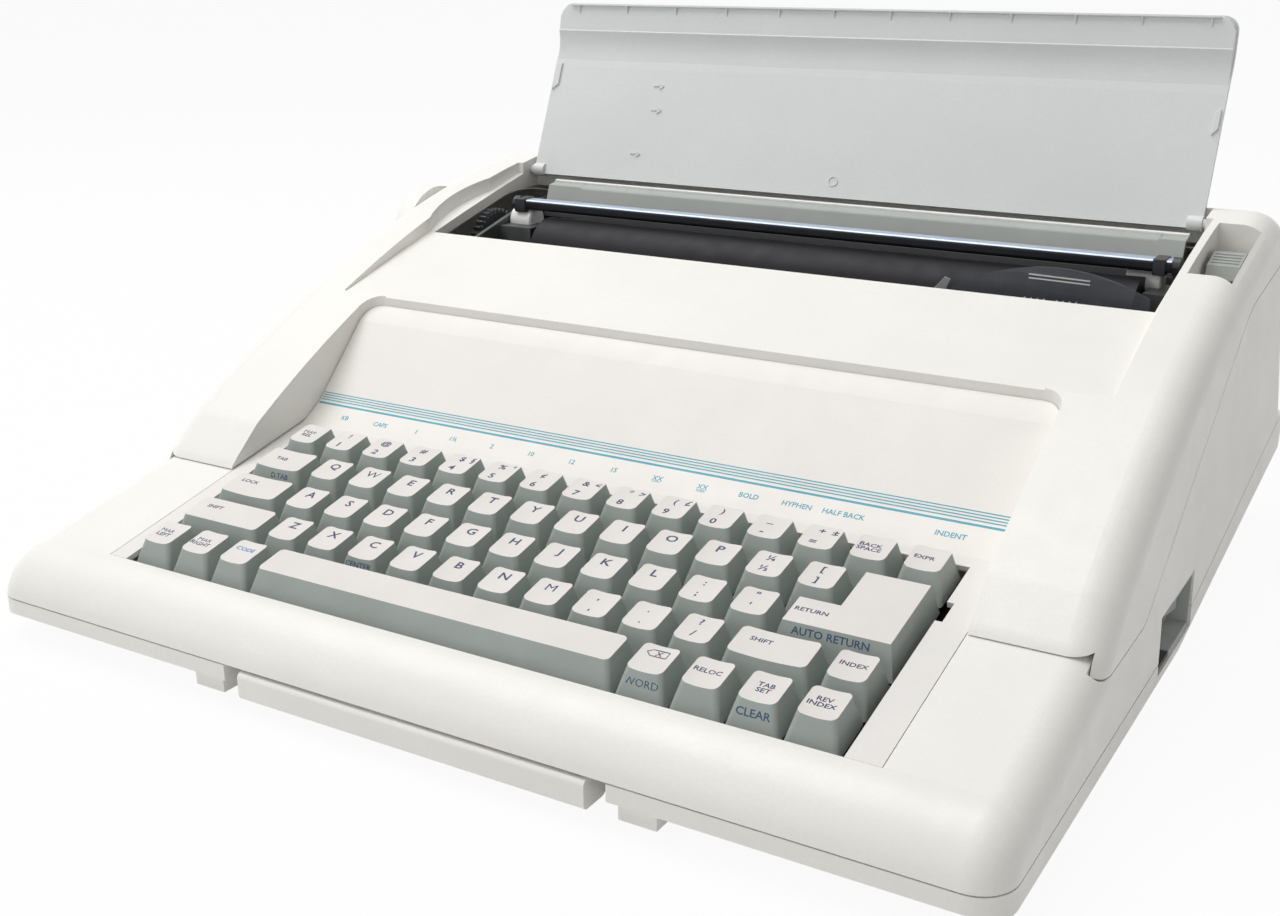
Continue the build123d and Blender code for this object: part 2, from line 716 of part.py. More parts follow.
def key_x(left, width):
    """Middle of a key on X, from its left edge and width in pitches."""
    return KEY_LEFT + (left + width / 2) * KEY_PITCH


def key_cap(width, dished, supports):
    """One key on its own axes: a hollow tapered cap with stems, top at the deck's level + 4.5."""
    base = (width * KEY_PITCH - KEY_SKIRT_GAP, ROW_PITCH - KEY_SKIRT_GAP)
    top = (base[0] - (KEY_PITCH - KEY_SKIRT_GAP - KEY_TOP_SIZE[0]), KEY_TOP_SIZE[1])
    with BuildPart() as cap:
        with BuildSketch(Plane.XY.offset(-KEY_SKIRT_DROP)):
            RectangleRounded(base[0], base[1], 1.5)
        with BuildSketch(Plane.XY.offset(KEY_TOP_HEIGHT)):
            with Locations((0, KEY_TOP_SHIFT)):
                RectangleRounded(top[0], top[1], 2.0)
        loft()
        with BuildSketch(Plane.XY.offset(-KEY_SKIRT_DROP)):
            RectangleRounded(base[0] - 2 * KEY_WALL, base[1] - 2 * KEY_WALL, 0.8)
        with BuildSketch(Plane.XY.offset(KEY_TOP_HEIGHT - KEY_WALL - KEY_DISH)):
            with Locations((0, KEY_TOP_SHIFT)):
                RectangleRounded(top[0] - 1.4, top[1] - 1.4, 1.2)
        loft(mode=Mode.SUBTRACT)
        if dished:
            dish = (top[0] / 2) ** 2 / (2 * KEY_DISH)
            with Locations(Location((0, KEY_TOP_SHIFT, KEY_TOP_HEIGHT + dish - KEY_DISH), (90, 0, 0))):
                Cylinder(dish, 3 * KEY_PITCH, mode=Mode.SUBTRACT)
        for x in supports:
            with Locations((x, 0, (STEM_LOW + KEY_TOP_HEIGHT - KEY_WALL) / 2)):
                Cylinder(STEM_RADIUS, KEY_TOP_HEIGHT - KEY_WALL - STEM_LOW)
    return cap.part


def place(cap, row, lefts, width):
    """Copies of a cap along one row."""
    with BuildPart() as keys:
        for left in lefts:
            with Locations(KEY_PLANE.location * Location((key_x(left, width), ROW_S[row], ROW_RISE[row]))):
                add(cap)
    return keys


CAP_1 = key_cap(1.0, True, (0,))
SINGLE_KEYS = [
    ("tab_key", 3, 0, 1.5, (0,)),
    ("lock_key", 2, 0, 1.75, (0,)),
    ("left_shift_key", 1, 0, 2.25, (0,)),
    ("right_shift_key", 1, 12.25, 1.75, (0,)),
    ("space_bar", 0, 3, 8, (-50, 0, 50)),
]
UNIT_KEYS = [
    ("index_key", 1, 14), ("margin_left_key", 0, 0), ("margin_right_key", 0, 1), ("code_key", 0, 2),
    ("correction_key", 0, 11), ("relocate_key", 0, 12), ("tab_set_key", 0, 13), ("reverse_index_key", 0, 14),
]
KEY_ROWS = [
    ("number_row_keys", 4, [float(n) for n in range(15)]),
    ("upper_letter_keys", 3, [1.5 + n for n in range(12)]),
    ("home_letter_keys", 2, [1.75 + n for n in range(11)]),
    ("lower_letter_keys", 1, [2.25 + n for n in range(10)]),
]
for name, row, lefts in KEY_ROWS:
    save(place(CAP_1, row, lefts, 1.0), name)
for name, row, left in UNIT_KEYS:
    save(place(CAP_1, row, [left], 1.0), name)
for name, row, left, width, supports in SINGLE_KEYS:
    save(place(key_cap(width, width < 2, supports), row, [left], width), name)


def return_outline(side, front, rear):
    """Corners of the return key, drawn in by a margin at its sides, front and rear."""
    right = KEY_LEFT + 15 * KEY_PITCH - KEY_SKIRT_GAP / 2 - side
    low_left = KEY_LEFT + 12.75 * KEY_PITCH + KEY_SKIRT_GAP / 2 + side
    high_left = KEY_LEFT + 13.5 * KEY_PITCH + KEY_SKIRT_GAP / 2 + side
    low = ROW_S[2] - (ROW_PITCH - KEY_SKIRT_GAP) / 2 + front
    step = ROW_S[2] + (ROW_PITCH - KEY_SKIRT_GAP) / 2 - rear
    high = ROW_S[3] + (ROW_PITCH - KEY_SKIRT_GAP) / 2 - rear
    return [(low_left, low), (right, low), (right, high), (high_left, high), (high_left, step), (low_left, step)]


RETURN_X = key_x(13.5, 1.5)
TOP_SIDE = (KEY_PITCH - KEY_SKIRT_GAP - KEY_TOP_SIZE[0]) / 2
TOP_FRONT = (ROW_PITCH - KEY_SKIRT_GAP - KEY_TOP_SIZE[1]) / 2 + KEY_TOP_SHIFT
TOP_REAR = (ROW_PITCH - KEY_SKIRT_GAP - KEY_TOP_SIZE[1]) / 2 - KEY_TOP_SHIFT
RETURN_STEMS = ((RETURN_X, ROW_S[3]), (RETURN_X, ROW_S[2]))

with BuildPart() as return_key:
    for side, front, rear, h, low, top, mode in (
        (0.0, 0.0, 0.0, 0.0, -KEY_SKIRT_DROP, KEY_TOP_HEIGHT + 0.2, Mode.ADD),
        (KEY_WALL, KEY_WALL, KEY_WALL, 0.7, -KEY_SKIRT_DROP, KEY_TOP_HEIGHT - 1.6, Mode.SUBTRACT),
    ):
        with BuildSketch(KEY_PLANE.offset(low)):
            with BuildLine():
                Polyline(*return_outline(side, front, rear), close=True)
            make_face()
        with BuildSketch(KEY_PLANE.offset(top)):
            with BuildLine():
                Polyline(*return_outline(TOP_SIDE + h, TOP_FRONT + h, TOP_REAR + h), close=True)
            make_face()
        loft(ruled=True, mode=mode)
    for x, s in RETURN_STEMS:
        with Locations(KEY_PLANE.location * Location((x, s, (STEM_LOW + KEY_TOP_HEIGHT - 1) / 2))):
            Cylinder(STEM_RADIUS, KEY_TOP_HEIGHT - 1 - STEM_LOW)
save(return_key, "return_key")


def stem_spots():
    """Where every key's stem passes through the key plate."""
    spots = list(RETURN_STEMS)
    for name, row, lefts in KEY_ROWS:
        spots += [(key_x(left, 1.0), ROW_S[row]) for left in lefts]
    for name, row, left in UNIT_KEYS:
        spots.append((key_x(left, 1.0), ROW_S[row]))
    for name, row, left, width, supports in SINGLE_KEYS:
        spots += [(key_x(left, width) + x, ROW_S[row]) for x in supports]
    return spots


PLATE_POSTS = [(x, s) for x in (-156.5, 156.5) for s in (-40, 0, 40)]
CIRCUIT_POSTS = [(x, s) for x in (-147, 147) for s in (-45, 50)]
CIRCUIT_POSTS += [(KEY_LEFT + (1.75 + n) * KEY_PITCH, ROW_S[2]) for n in (1, 5, 9)]

with BuildPart() as key_plate:
    key_block((-160, 160), (-49, 57), (PLATE_LOW, PLATE_TOP))
    for x, s in PLATE_POSTS:
        with Locations(KEY_PLANE.location * Location((x, s, (PLATE_LOW - WALL) / 2))):
            Cylinder(3, -WALL - PLATE_LOW)
    for x, s in CIRCUIT_POSTS:
        with Locations(KEY_PLANE.location * Location((x, s, (PLATE_TOP + CIRCUIT_TOP) / 2 - 0.5))):
            Cylinder(2, PLATE_TOP - CIRCUIT_TOP - 1)
    for x, s in stem_spots():
        with Locations(KEY_PLANE.location * Location((x, s, PLATE_LOW))):
            Cylinder(STEM_RADIUS + STEM_CLEARANCE, 6, mode=Mode.SUBTRACT)
save(key_plate, "key_plate")

with BuildPart() as keyboard_circuit:
    key_block((-150, 150), (-48, 54), (CIRCUIT_TOP - CIRCUIT_THICKNESS, CIRCUIT_TOP))
    key_block((60, 140), (20, 50), (CIRCUIT_TOP - 6, CIRCUIT_TOP - CIRCUIT_THICKNESS + 0.2))
save(keyboard_circuit, "keyboard_circuit")

# Lid

LID_LEAN = atan2(LID_FLAT_END[1] - LID_FOOT[1], LID_FLAT_END[0] - LID_FOOT[0])


def behind(point, lean, depth=LID_THICKNESS):
    """A point moved square to the lid, to its rear."""
    return (point[0] + depth * sin(lean), point[1] - depth * cos(lean))


with BuildPart() as lid:
    with BuildSketch(Plane.YZ):
        with BuildLine():
            Line(LID_FOOT, LID_FLAT_END)
            Spline(LID_FLAT_END, LID_CURVE, LID_LIP_START,
                   tangents=((cos(LID_LEAN), sin(LID_LEAN)), (0.08, 1)))
            Line(LID_LIP_START, LID_LIP_END)
            Line(LID_LIP_END, behind(LID_LIP_END, radians(85.5)))
            Line(behind(LID_LIP_END, radians(85.5)), behind(LID_LIP_START, radians(85.5)))
            Spline(behind(LID_LIP_START, radians(85.5)), behind(LID_CURVE, radians(68)), behind(LID_FLAT_END, LID_LEAN),
                   tangents=((-0.08, -1), (-cos(LID_LEAN), -sin(LID_LEAN))))
            Line(behind(LID_FLAT_END, LID_LEAN), behind(LID_FOOT, LID_LEAN))
            Line(behind(LID_FOOT, LID_LEAN), LID_FOOT)
        make_face()
    extrude(amount=LID_HALF, both=True)
    corners = lid.edges().filter_by(
        lambda e: abs(e.center().X) > LID_HALF - 1 and e.center().Z > LID_LIP_END[1] - 2
        and e.bounding_box().size.Y > 1
    )
    fillet(corners, 6)
    for side in (-1, 1):
        bar_x((side * (LID_HALF - 6), side * LID_HALF), LID_PIVOT[0], LID_PIVOT[1], LID_EAR_RADIUS)
        bar_x((side * (LID_HALF - 1), side * (OPENING_HALF + RIM - 0.2)), LID_PIVOT[0], LID_PIVOT[1], LID_PIN_RADIUS)
save(lid, "lid")

# Mechanism frame

PRESSURE_Y = PLATEN_Y
PRESSURE_Z = PLATEN_Z - PLATEN_RADIUS - PRESSURE_RADIUS - PRESSURE_GAP
PINION_Y = PLATEN_Y + (GEAR_TEETH + PINION_TEETH) / 2 * GEAR_MODULE * cos(radians(PINION_ANGLE))
PINION_Z = PLATEN_Z + (GEAR_TEETH + PINION_TEETH) / 2 * GEAR_MODULE * sin(radians(PINION_ANGLE))
FRAME_INNER_LEFT = FRAME_LEFT + FRAME_THICKNESS / 2
FRAME_INNER_RIGHT = FRAME_RIGHT - FRAME_THICKNESS / 2


def side_frame(x, inward):
    """One side of the mechanism: a plate with its foot, bearing block and holes."""
    inner = x + inward * FRAME_THICKNESS / 2
    with BuildPart() as frame:
        with BuildSketch(Plane.YZ.offset(x)):
            with BuildLine():
                Polyline(
                    (FRAME_FRONT, FLOOR_Z), (FRAME_FRONT, 98), (49, 109), (110, 124), (FRAME_REAR, 124),
                    (FRAME_REAR, 60), (160, 30), (160, FLOOR_Z), close=True,
                )
            make_face()
        extrude(amount=FRAME_THICKNESS / 2, both=True)
        for y in ((FRAME_FRONT, 50), (90, 140)):
            block((inner - inward * 0.5, inner + inward * 10), y, (FLOOR_Z, FLOOR_Z + FRAME_THICKNESS))
        block((inner - inward * 0.5, inner + inward * (18 if inward > 0 else 13)),
              (PLATEN_Y + 2 - BLOCK_SIZE[0] / 2, PLATEN_Y + 2 + BLOCK_SIZE[0] / 2),
              (BLOCK_Z - BLOCK_SIZE[1] / 2, BLOCK_Z + BLOCK_SIZE[1] / 2))
        bar_x((x - 30, x + 30), PLATEN_Y, PLATEN_Z, SHAFT_RADIUS + BEARING_CLEARANCE, Mode.SUBTRACT)
        bar_x((x - 3, x + 3), PRESSURE_Y, PRESSURE_Z, PRESSURE_SHAFT_RADIUS + 0.05, Mode.SUBTRACT)
        bar_x((x - 3, x + 3), BAIL_PIVOT[0], BAIL_PIVOT[1], 2.56, Mode.SUBTRACT)
        if inward > 0:
            bar_x((x - 3, x + 3), PINION_Y, PINION_Z, 3, Mode.SUBTRACT)
        else:
            bar_x((x, POCKET_X + LEVER_WIDTH / 2 + 1), LEVER_Y, LEVER_Z, 2)
    return frame


save(side_frame(FRAME_LEFT, 1), "side_frame_left")
save(side_frame(FRAME_RIGHT, -1), "side_frame_right")

with BuildPart() as carriage_rod:
    bar_x((FRAME_INNER_LEFT, FRAME_INNER_RIGHT), ROD_Y, ROD_Z, ROD_RADIUS)
save(carriage_rod, "carriage_rod")

with BuildPart() as chassis_channel:
    block((FRAME_INNER_LEFT, FRAME_INNER_RIGHT), (CHANNEL_Y, CHANNEL_Y + SHEET), (CHANNEL_LOW, CHANNEL_HIGH))
    for z in (CHANNEL_LOW, CHANNEL_HIGH - SHEET):
        block((FRAME_INNER_LEFT, FRAME_INNER_RIGHT), (CHANNEL_Y, CHANNEL_REAR), (z, z + SHEET))
    bar_y(PULLEY_RIGHT, (CHANNEL_Y - 1, CHANNEL_Y + SHEET + 1), PULLEY_Z, 3, Mode.SUBTRACT)
    bar_y(PULLEY_LEFT, (CHANNEL_Y, PULLEY_Y + 3.5), PULLEY_Z, 2)
save(chassis_channel, "chassis_channel")

CHUTE_RADIUS = PLATEN_RADIUS + 1.2
CHUTE_END = radians(-73)


def round_platen(radius, angle):
    """A point round the platen's axis."""
    return (PLATEN_Y + radius * cos(angle), PLATEN_Z + radius * sin(angle))


with BuildPart() as paper_chute:
    with BuildSketch(Plane.YZ.offset(PLATEN_LEFT + 1)):
        with BuildLine():
            FilletPolyline((125, 132.4), (118.5, 131.3), (112.6, 116), round_platen(CHUTE_RADIUS, 0), radius=2)
            ThreePointArc(round_platen(CHUTE_RADIUS, 0), round_platen(CHUTE_RADIUS, CHUTE_END / 2),
                          round_platen(CHUTE_RADIUS, CHUTE_END))
            Line(round_platen(CHUTE_RADIUS, CHUTE_END), round_platen(CHUTE_RADIUS + 1.2, CHUTE_END))
            ThreePointArc(round_platen(CHUTE_RADIUS + 1.2, CHUTE_END),
                          round_platen(CHUTE_RADIUS + 1.2, CHUTE_END / 2), round_platen(CHUTE_RADIUS + 1.2, 0))
            FilletPolyline(round_platen(CHUTE_RADIUS + 1.2, 0), (113.8, 115.6), (119.4, 130.2), (125, 131.2),
                           radius=2)
            Line((125, 131.2), (125, 132.4))
        make_face()
    extrude(amount=PLATEN_RIGHT - PLATEN_LEFT - 2)
    block((FRAME_INNER_LEFT, FRAME_INNER_RIGHT), (111, 116), (97, 101))
save(paper_chute, "paper_chute")

# Platen and what turns with it


def gear_profile(teeth, phase):
    """Outline of a spur gear whose first tooth points at an angle."""
    pitch = teeth * GEAR_MODULE / 2
    step = 2 * pi / teeth
    points = []
    for tooth in range(teeth):
        middle = phase + tooth * step
        for radius, offset_angle in (
            (pitch - 1.15 * GEAR_MODULE, -0.28), (pitch, -0.215), (pitch + 0.85 * GEAR_MODULE, -0.11),
            (pitch + 0.85 * GEAR_MODULE, 0.11), (pitch, 0.215), (pitch - 1.15 * GEAR_MODULE, 0.28),
        ):
            angle = middle + offset_angle * step
            points.append((radius * cos(angle), radius * sin(angle)))
    return points


def spur_gear(teeth, phase, y, z, bore):
    """A spur gear at GEAR_X whose axis runs along X."""
    with BuildPart() as gear:
        with BuildSketch(Plane.YZ.offset(GEAR_X)):
            with Locations((y, z)):
                with BuildLine():
                    Polyline(*[(y + a, z + b) for a, b in gear_profile(teeth, phase)], close=True)
                make_face()
                if bore:
                    Circle(bore, mode=Mode.SUBTRACT)
        extrude(amount=GEAR_WIDTH / 2, both=True)
    return gear


MESH = radians(PINION_ANGLE)
save(spur_gear(GEAR_TEETH, MESH, PLATEN_Y, PLATEN_Z, SHAFT_RADIUS), "platen_gear")

with BuildPart() as feed_pinion:
    add(spur_gear(PINION_TEETH, MESH + pi + pi / PINION_TEETH, PINION_Y, PINION_Z, 0).part)
    bar_x((GEAR_X - GEAR_WIDTH / 2 - 1, FRAME_INNER_LEFT + 6), PINION_Y, PINION_Z, 1.5)
save(feed_pinion, "feed_pinion")

with BuildPart() as feed_motor:
    bar_x((FRAME_INNER_LEFT, FRAME_INNER_LEFT + FEED_MOTOR_LENGTH), PINION_Y, PINION_Z, FEED_MOTOR_RADIUS)
    bar_x((FRAME_INNER_LEFT - 1, FRAME_INNER_LEFT + 7), PINION_Y, PINION_Z, 1.58, Mode.SUBTRACT)
save(feed_motor, "feed_motor")

with BuildPart() as platen_roller:
    bar_x((PLATEN_LEFT, PLATEN_RIGHT), PLATEN_Y, PLATEN_Z, PLATEN_RADIUS)
    bar_x((PLATEN_LEFT - 1, PLATEN_RIGHT + 1), PLATEN_Y, PLATEN_Z, SHAFT_RADIUS, Mode.SUBTRACT)
save(platen_roller, "platen_roller")

with BuildPart() as platen_shaft:
    bar_x((KNOB_X - KNOB_LENGTH / 2 + 4, FRAME_RIGHT + 3), PLATEN_Y, PLATEN_Z, SHAFT_RADIUS)
save(platen_shaft, "platen_shaft")

with BuildPart() as platen_knob:
    with BuildSketch(Plane.YZ.offset(KNOB_X - KNOB_LENGTH / 2)):
        with Locations((PLATEN_Y, PLATEN_Z)):
            Circle(KNOB_RADIUS)
    extrude(amount=KNOB_LENGTH)
    fillet(platen_knob.edges().sort_by(Axis.X)[0], KNOB_RIM)
    bar_x((KNOB_X + KNOB_LENGTH / 2 - 1, KNOB_X + KNOB_LENGTH / 2 + 3), PLATEN_Y, PLATEN_Z, 12)
    bar_x((KNOB_X - KNOB_LENGTH / 2 + 4, KNOB_X + KNOB_LENGTH), PLATEN_Y, PLATEN_Z, SHAFT_RADIUS, Mode.SUBTRACT)
save(platen_knob, "platen_knob")

with BuildPart() as pressure_rollers:
    bar_x((FRAME_LEFT - 1, FRAME_RIGHT + 1), PRESSURE_Y, PRESSURE_Z, PRESSURE_SHAFT_RADIUS)
    for middle in (-105, -50, 10, 70, 125):
        bar_x((middle - 20, middle + 20), PRESSURE_Y, PRESSURE_Z, PRESSURE_RADIUS)
save(pressure_rollers, "pressure_rollers")

# Paper bail and release lever

BAIL_LEFT = FRAME_INNER_LEFT + 2
BAIL_RIGHT = FRAME_INNER_RIGHT - 2

with BuildPart() as bail_bar:
    block((BAIL_LEFT + BAIL_ARM, BAIL_RIGHT - BAIL_ARM), (BAIL_Y - BAIL_BAR[0] / 2, BAIL_Y + BAIL_BAR[0] / 2),
          (BAIL_Z - BAIL_BAR[1] / 2, BAIL_Z + BAIL_BAR[1] / 2))
    fillet(bail_bar.edges().filter_by(Axis.X), 1.5)
save(bail_bar, "bail_bar")

with BuildPart() as bail_arms:
    for start, side in ((BAIL_LEFT, -1), (BAIL_RIGHT - BAIL_ARM, 1)):
        with BuildSketch(Plane.YZ.offset(start)):
            with BuildLine():
                lean = atan2(BAIL_Z - BAIL_PIVOT[1], BAIL_Y - BAIL_PIVOT[0])
                Polyline(
                    (BAIL_PIVOT[0] - 3.5 * sin(lean), BAIL_PIVOT[1] + 3.5 * cos(lean)),
                    (BAIL_PIVOT[0] + 3.5 * sin(lean), BAIL_PIVOT[1] - 3.5 * cos(lean)),
                    (BAIL_Y + 3.5 * sin(lean), BAIL_Z - 3.5 * cos(lean)),
                    (BAIL_Y - 3.5 * sin(lean), BAIL_Z + 3.5 * cos(lean)), close=True,
                )
            make_face()
            with Locations(BAIL_PIVOT, (BAIL_Y, BAIL_Z)):
                Circle(3.5)
        extrude(amount=BAIL_ARM)
    bar_x((FRAME_LEFT - 1, BAIL_LEFT + 1), BAIL_PIVOT[0], BAIL_PIVOT[1], 2.5)
    bar_x((BAIL_RIGHT - 1, FRAME_RIGHT + 1), BAIL_PIVOT[0], BAIL_PIVOT[1], 2.5)
save(bail_arms, "bail_arms")

with BuildPart() as release_lever:
    bar_x((FRAME_RIGHT + 1.4, POCKET_X + LEVER_WIDTH / 2), LEVER_Y, LEVER_Z, 5)
    block((POCKET_X - LEVER_WIDTH / 2, POCKET_X + LEVER_WIDTH / 2), (LEVER_Y - 2.5, LEVER_Y + 2.5),
          (LEVER_Z, 126))
    with BuildSketch(Plane.YZ.offset(POCKET_X - 6)):
        with BuildLine():
            Polyline((90, 123), (92, 128), (104, 131), (114, 129.5), (116, 124.5), (104, 122.5), close=True)
        make_face()
    extrude(amount=12)
    bar_x((FRAME_RIGHT, POCKET_X + 10), LEVER_Y, LEVER_Z, 2.08, Mode.SUBTRACT)
save(release_lever, "release_lever")

# Carriage

CASSETTE_LOW = CARRIAGE_HIGH
CASSETTE_HIGH = 106.0
WHEEL_Z = PLATEN_Z - WHEEL_DROP
BELT_RUN = PULLEY_Z + PULLEY_RADIUS + BELT_THICKNESS / 2

with BuildPart() as carriage_body:
    block((CARRIAGE_X - CARRIAGE_HALF, CARRIAGE_X + CARRIAGE_HALF), (CARRIAGE_FRONT, CARRIAGE_REAR),
          (CARRIAGE_LOW, CARRIAGE_HIGH))
    bar_y(CARRIAGE_X, (CARRIAGE_FRONT + 14, CARRIAGE_REAR), WHEEL_Z, MOTOR_RADIUS, Mode.SUBTRACT)
    block((CARRIAGE_X - 7, CARRIAGE_X + 7), (40, 63), (CARRIAGE_HIGH - 1, PLATEN_Z + 5.5))
    bar_y(CARRIAGE_X, (44, 70), PLATEN_Z, HAMMER_RADIUS + 0.08, Mode.SUBTRACT)
    # Clamp on the belt and slide over the channel
    block((CARRIAGE_X - 6, CARRIAGE_X + 6), (PULLEY_Y - 4.5, CARRIAGE_FRONT + 1), (BELT_RUN - 3, BELT_RUN + 3))
    block((CARRIAGE_X - 7, CARRIAGE_X + 7), (PULLEY_Y - 2.6, PULLEY_Y + 2.6), (BELT_RUN - 0.8, BELT_RUN + 0.8),
          Mode.SUBTRACT)
    block((CARRIAGE_X - 8, CARRIAGE_X + 8), (CARRIAGE_FRONT, CARRIAGE_FRONT + 3), (CARRIAGE_HIGH - 5, 102))
    block((CARRIAGE_X - 8, CARRIAGE_X + 8), (20, CARRIAGE_FRONT + 3), (CHANNEL_HIGH + SLIDE_CLEARANCE, 102))
    bar_x((CARRIAGE_X - 40, CARRIAGE_X + 40), ROD_Y, ROD_Z, ROD_RADIUS + 0.1, Mode.SUBTRACT)
    # Ears that carry the card holder
    for side in (-1, 1):
        block((CARRIAGE_X + side * (CARRIAGE_HALF - 1), CARRIAGE_X + side * 37), (60, CARRIAGE_REAR),
              (CARRIAGE_HIGH - 6, CARRIAGE_HIGH))
save(carriage_body, "carriage_body")

with BuildPart() as ribbon_cassette:
    block((CARRIAGE_X - 36, CARRIAGE_X + 36), (31, 59), (CASSETTE_LOW, CASSETTE_HIGH))
    fillet(ribbon_cassette.edges().filter_by(Axis.Z), 5)
    chamfer(ribbon_cassette.faces().sort_by(Axis.Z)[-1].edges(), 1)
    block((CARRIAGE_X - 7.3, CARRIAGE_X + 7.3), (39.5, 70), (CASSETTE_LOW - 1, CASSETTE_HIGH + 1), Mode.SUBTRACT)
    block((CARRIAGE_X - 8.3, CARRIAGE_X + 8.3), (20, 30.3), (CASSETTE_LOW - 1, CASSETTE_HIGH + 1), Mode.SUBTRACT)
    for side in (-1, 1):
        post(CARRIAGE_X + side * 22, 45, (CASSETTE_HIGH - 0.5, CASSETTE_HIGH + 1.5), 6)
save(ribbon_cassette, "ribbon_cassette")

with BuildPart() as card_holder:
    for side in (-1, 1):
        block((CARRIAGE_X + side * 31, CARRIAGE_X + side * 37), (61, CARRIAGE_REAR), (CARRIAGE_HIGH, 113))
        block((CARRIAGE_X + side * 31, CARRIAGE_X + side * 37), (61, 72.4), (109, 113))
    with BuildSketch(Plane.XZ.offset(-72.4)):
        with BuildLine():
            Polyline(
                (CARRIAGE_X - 37, 100), (CARRIAGE_X + 37, 100), (CARRIAGE_X + 37, 118), (CARRIAGE_X + 31, 124),
                (CARRIAGE_X - 31, 124), (CARRIAGE_X - 37, 118), close=True,
            )
        make_face()
        with Locations((CARRIAGE_X, 106)):
            Rectangle(36, 14, mode=Mode.SUBTRACT)
    extrude(amount=1.0)
save(card_holder, "card_holder")

with BuildPart() as wheel_motor:
    bar_y(CARRIAGE_X, (CARRIAGE_FRONT + 14, CARRIAGE_REAR), WHEEL_Z, MOTOR_RADIUS)
    bar_y(CARRIAGE_X, (CARRIAGE_REAR - 9, CARRIAGE_REAR + 1), WHEEL_Z, 1.58, Mode.SUBTRACT)
save(wheel_motor, "wheel_motor")

with BuildPart() as daisy_wheel:
    bar_y(CARRIAGE_X, (WHEEL_Y - WHEEL_THICKNESS / 2, WHEEL_Y + WHEEL_THICKNESS / 2), WHEEL_Z, 11)
    with BuildSketch(Plane.XZ.offset(-WHEEL_Y - WHEEL_THICKNESS / 2)):
        with Locations((CARRIAGE_X, WHEEL_Z)):
            with PolarLocations(WHEEL_RADIUS / 2 + 5, WHEEL_PETALS):
                Rectangle(WHEEL_RADIUS - 10, 1.3)
    extrude(amount=WHEEL_THICKNESS)
    bar_y(CARRIAGE_X, (CARRIAGE_REAR + 1.5, WHEEL_Y + 1), WHEEL_Z, 6)
    bar_y(CARRIAGE_X, (CARRIAGE_REAR - 8, CARRIAGE_REAR + 2), WHEEL_Z, 1.5)
save(daisy_wheel, "daisy_wheel")

with BuildPart() as hammer:
    bar_y(CARRIAGE_X, (47, HAMMER_REST), PLATEN_Z, HAMMER_RADIUS)
save(hammer, "hammer")

# Carriage drive

with BuildPart() as carriage_belt:
    with BuildSketch(Plane.XZ.offset(-PULLEY_Y)):
        with Locations(((PULLEY_LEFT + PULLEY_RIGHT) / 2, PULLEY_Z)):
            SlotCenterToCenter(PULLEY_RIGHT - PULLEY_LEFT, 2 * (PULLEY_RADIUS + BELT_THICKNESS))
            SlotCenterToCenter(PULLEY_RIGHT - PULLEY_LEFT, 2 * PULLEY_RADIUS, mode=Mode.SUBTRACT)
    extrude(amount=2.2, both=True)
save(carriage_belt, "carriage_belt")


def pulley(x, bore):
    """A flanged belt pulley."""
    with BuildPart() as wheel:
        bar_y(x, (PULLEY_Y - PULLEY_WIDTH / 2, PULLEY_Y + PULLEY_WIDTH / 2), PULLEY_Z, PULLEY_RADIUS - 0.05)
        for side in (-1, 1):
            end = PULLEY_Y + side * PULLEY_WIDTH / 2
            bar_y(x, (end, end + side * 0.8), PULLEY_Z, PULLEY_RADIUS + 2)
        if bore:
            bar_y(x, (PULLEY_Y - 9, PULLEY_Y + 9), PULLEY_Z, bore, Mode.SUBTRACT)
    return wheel


save(pulley(PULLEY_LEFT, 2.08), "idler_pulley")

with BuildPart() as drive_pulley:
    add(pulley(PULLEY_RIGHT, 0).part)
    bar_y(PULLEY_RIGHT, (2, PULLEY_Y), PULLEY_Z, 1.5)
save(drive_pulley, "drive_pulley")

with BuildPart() as carriage_motor:
    bar_y(PULLEY_RIGHT, (-14, CHANNEL_Y), PULLEY_Z, MOTOR_RADIUS)
    bar_y(PULLEY_RIGHT, (1, CHANNEL_Y + 1), PULLEY_Z, 1.58, Mode.SUBTRACT)
save(carriage_motor, "carriage_motor")

# Tray parts, feet and screws

with BuildPart() as rubber_feet:
    for x, y in FOOT_SPOTS:
        post(x, y, (0, FOOT_HEIGHT), FOOT_RADIUS)
        post(x, y, (FOOT_HEIGHT - 1, FLOOR_Z + 1.5), 3)
save(rubber_feet, "rubber_feet")

with BuildPart() as case_screws:
    for x, y in SCREW_SPOTS:
        post(x, y, (FLOOR_Z - 1.8, FLOOR_Z), 3.6)
        post(x, y, (FLOOR_Z - 1, BOSS_SPLIT + 10), SCREW_RADIUS)
save(case_screws, "case_screws")

with BuildPart() as main_board:
    block((-BOARD_SIZE[0] / 2 - 50, BOARD_SIZE[0] / 2 - 50), (-45, BOARD_SIZE[1] - 45), (BOARD_Z, BOARD_Z + 1.6))
    for x, y, size_x, size_y, height in (
        (-110, -20, 50, 15, 4), (-110, 12, 36, 15, 4), (-40, -15, 15, 40, 4), (0, 20, 30, 12, 8),
        (20, -20, 16, 16, 12), (-60, 30, 40, 8, 9),
    ):
        block((x - size_x / 2, x + size_x / 2), (y - size_y / 2, y + size_y / 2), (BOARD_Z + 1, BOARD_Z + 1.6 + height))
save(main_board, "main_board")

with BuildPart() as transformer:
    block((70, 130), (80, 130), (FLOOR_Z + 6, FLOOR_Z + 46))
    block((78, 122), (72, 138), (FLOOR_Z + 12, FLOOR_Z + 40))
    block((62, 138), (80, 130), (FLOOR_Z, FLOOR_Z + 6.5))
save(transformer, "transformer")

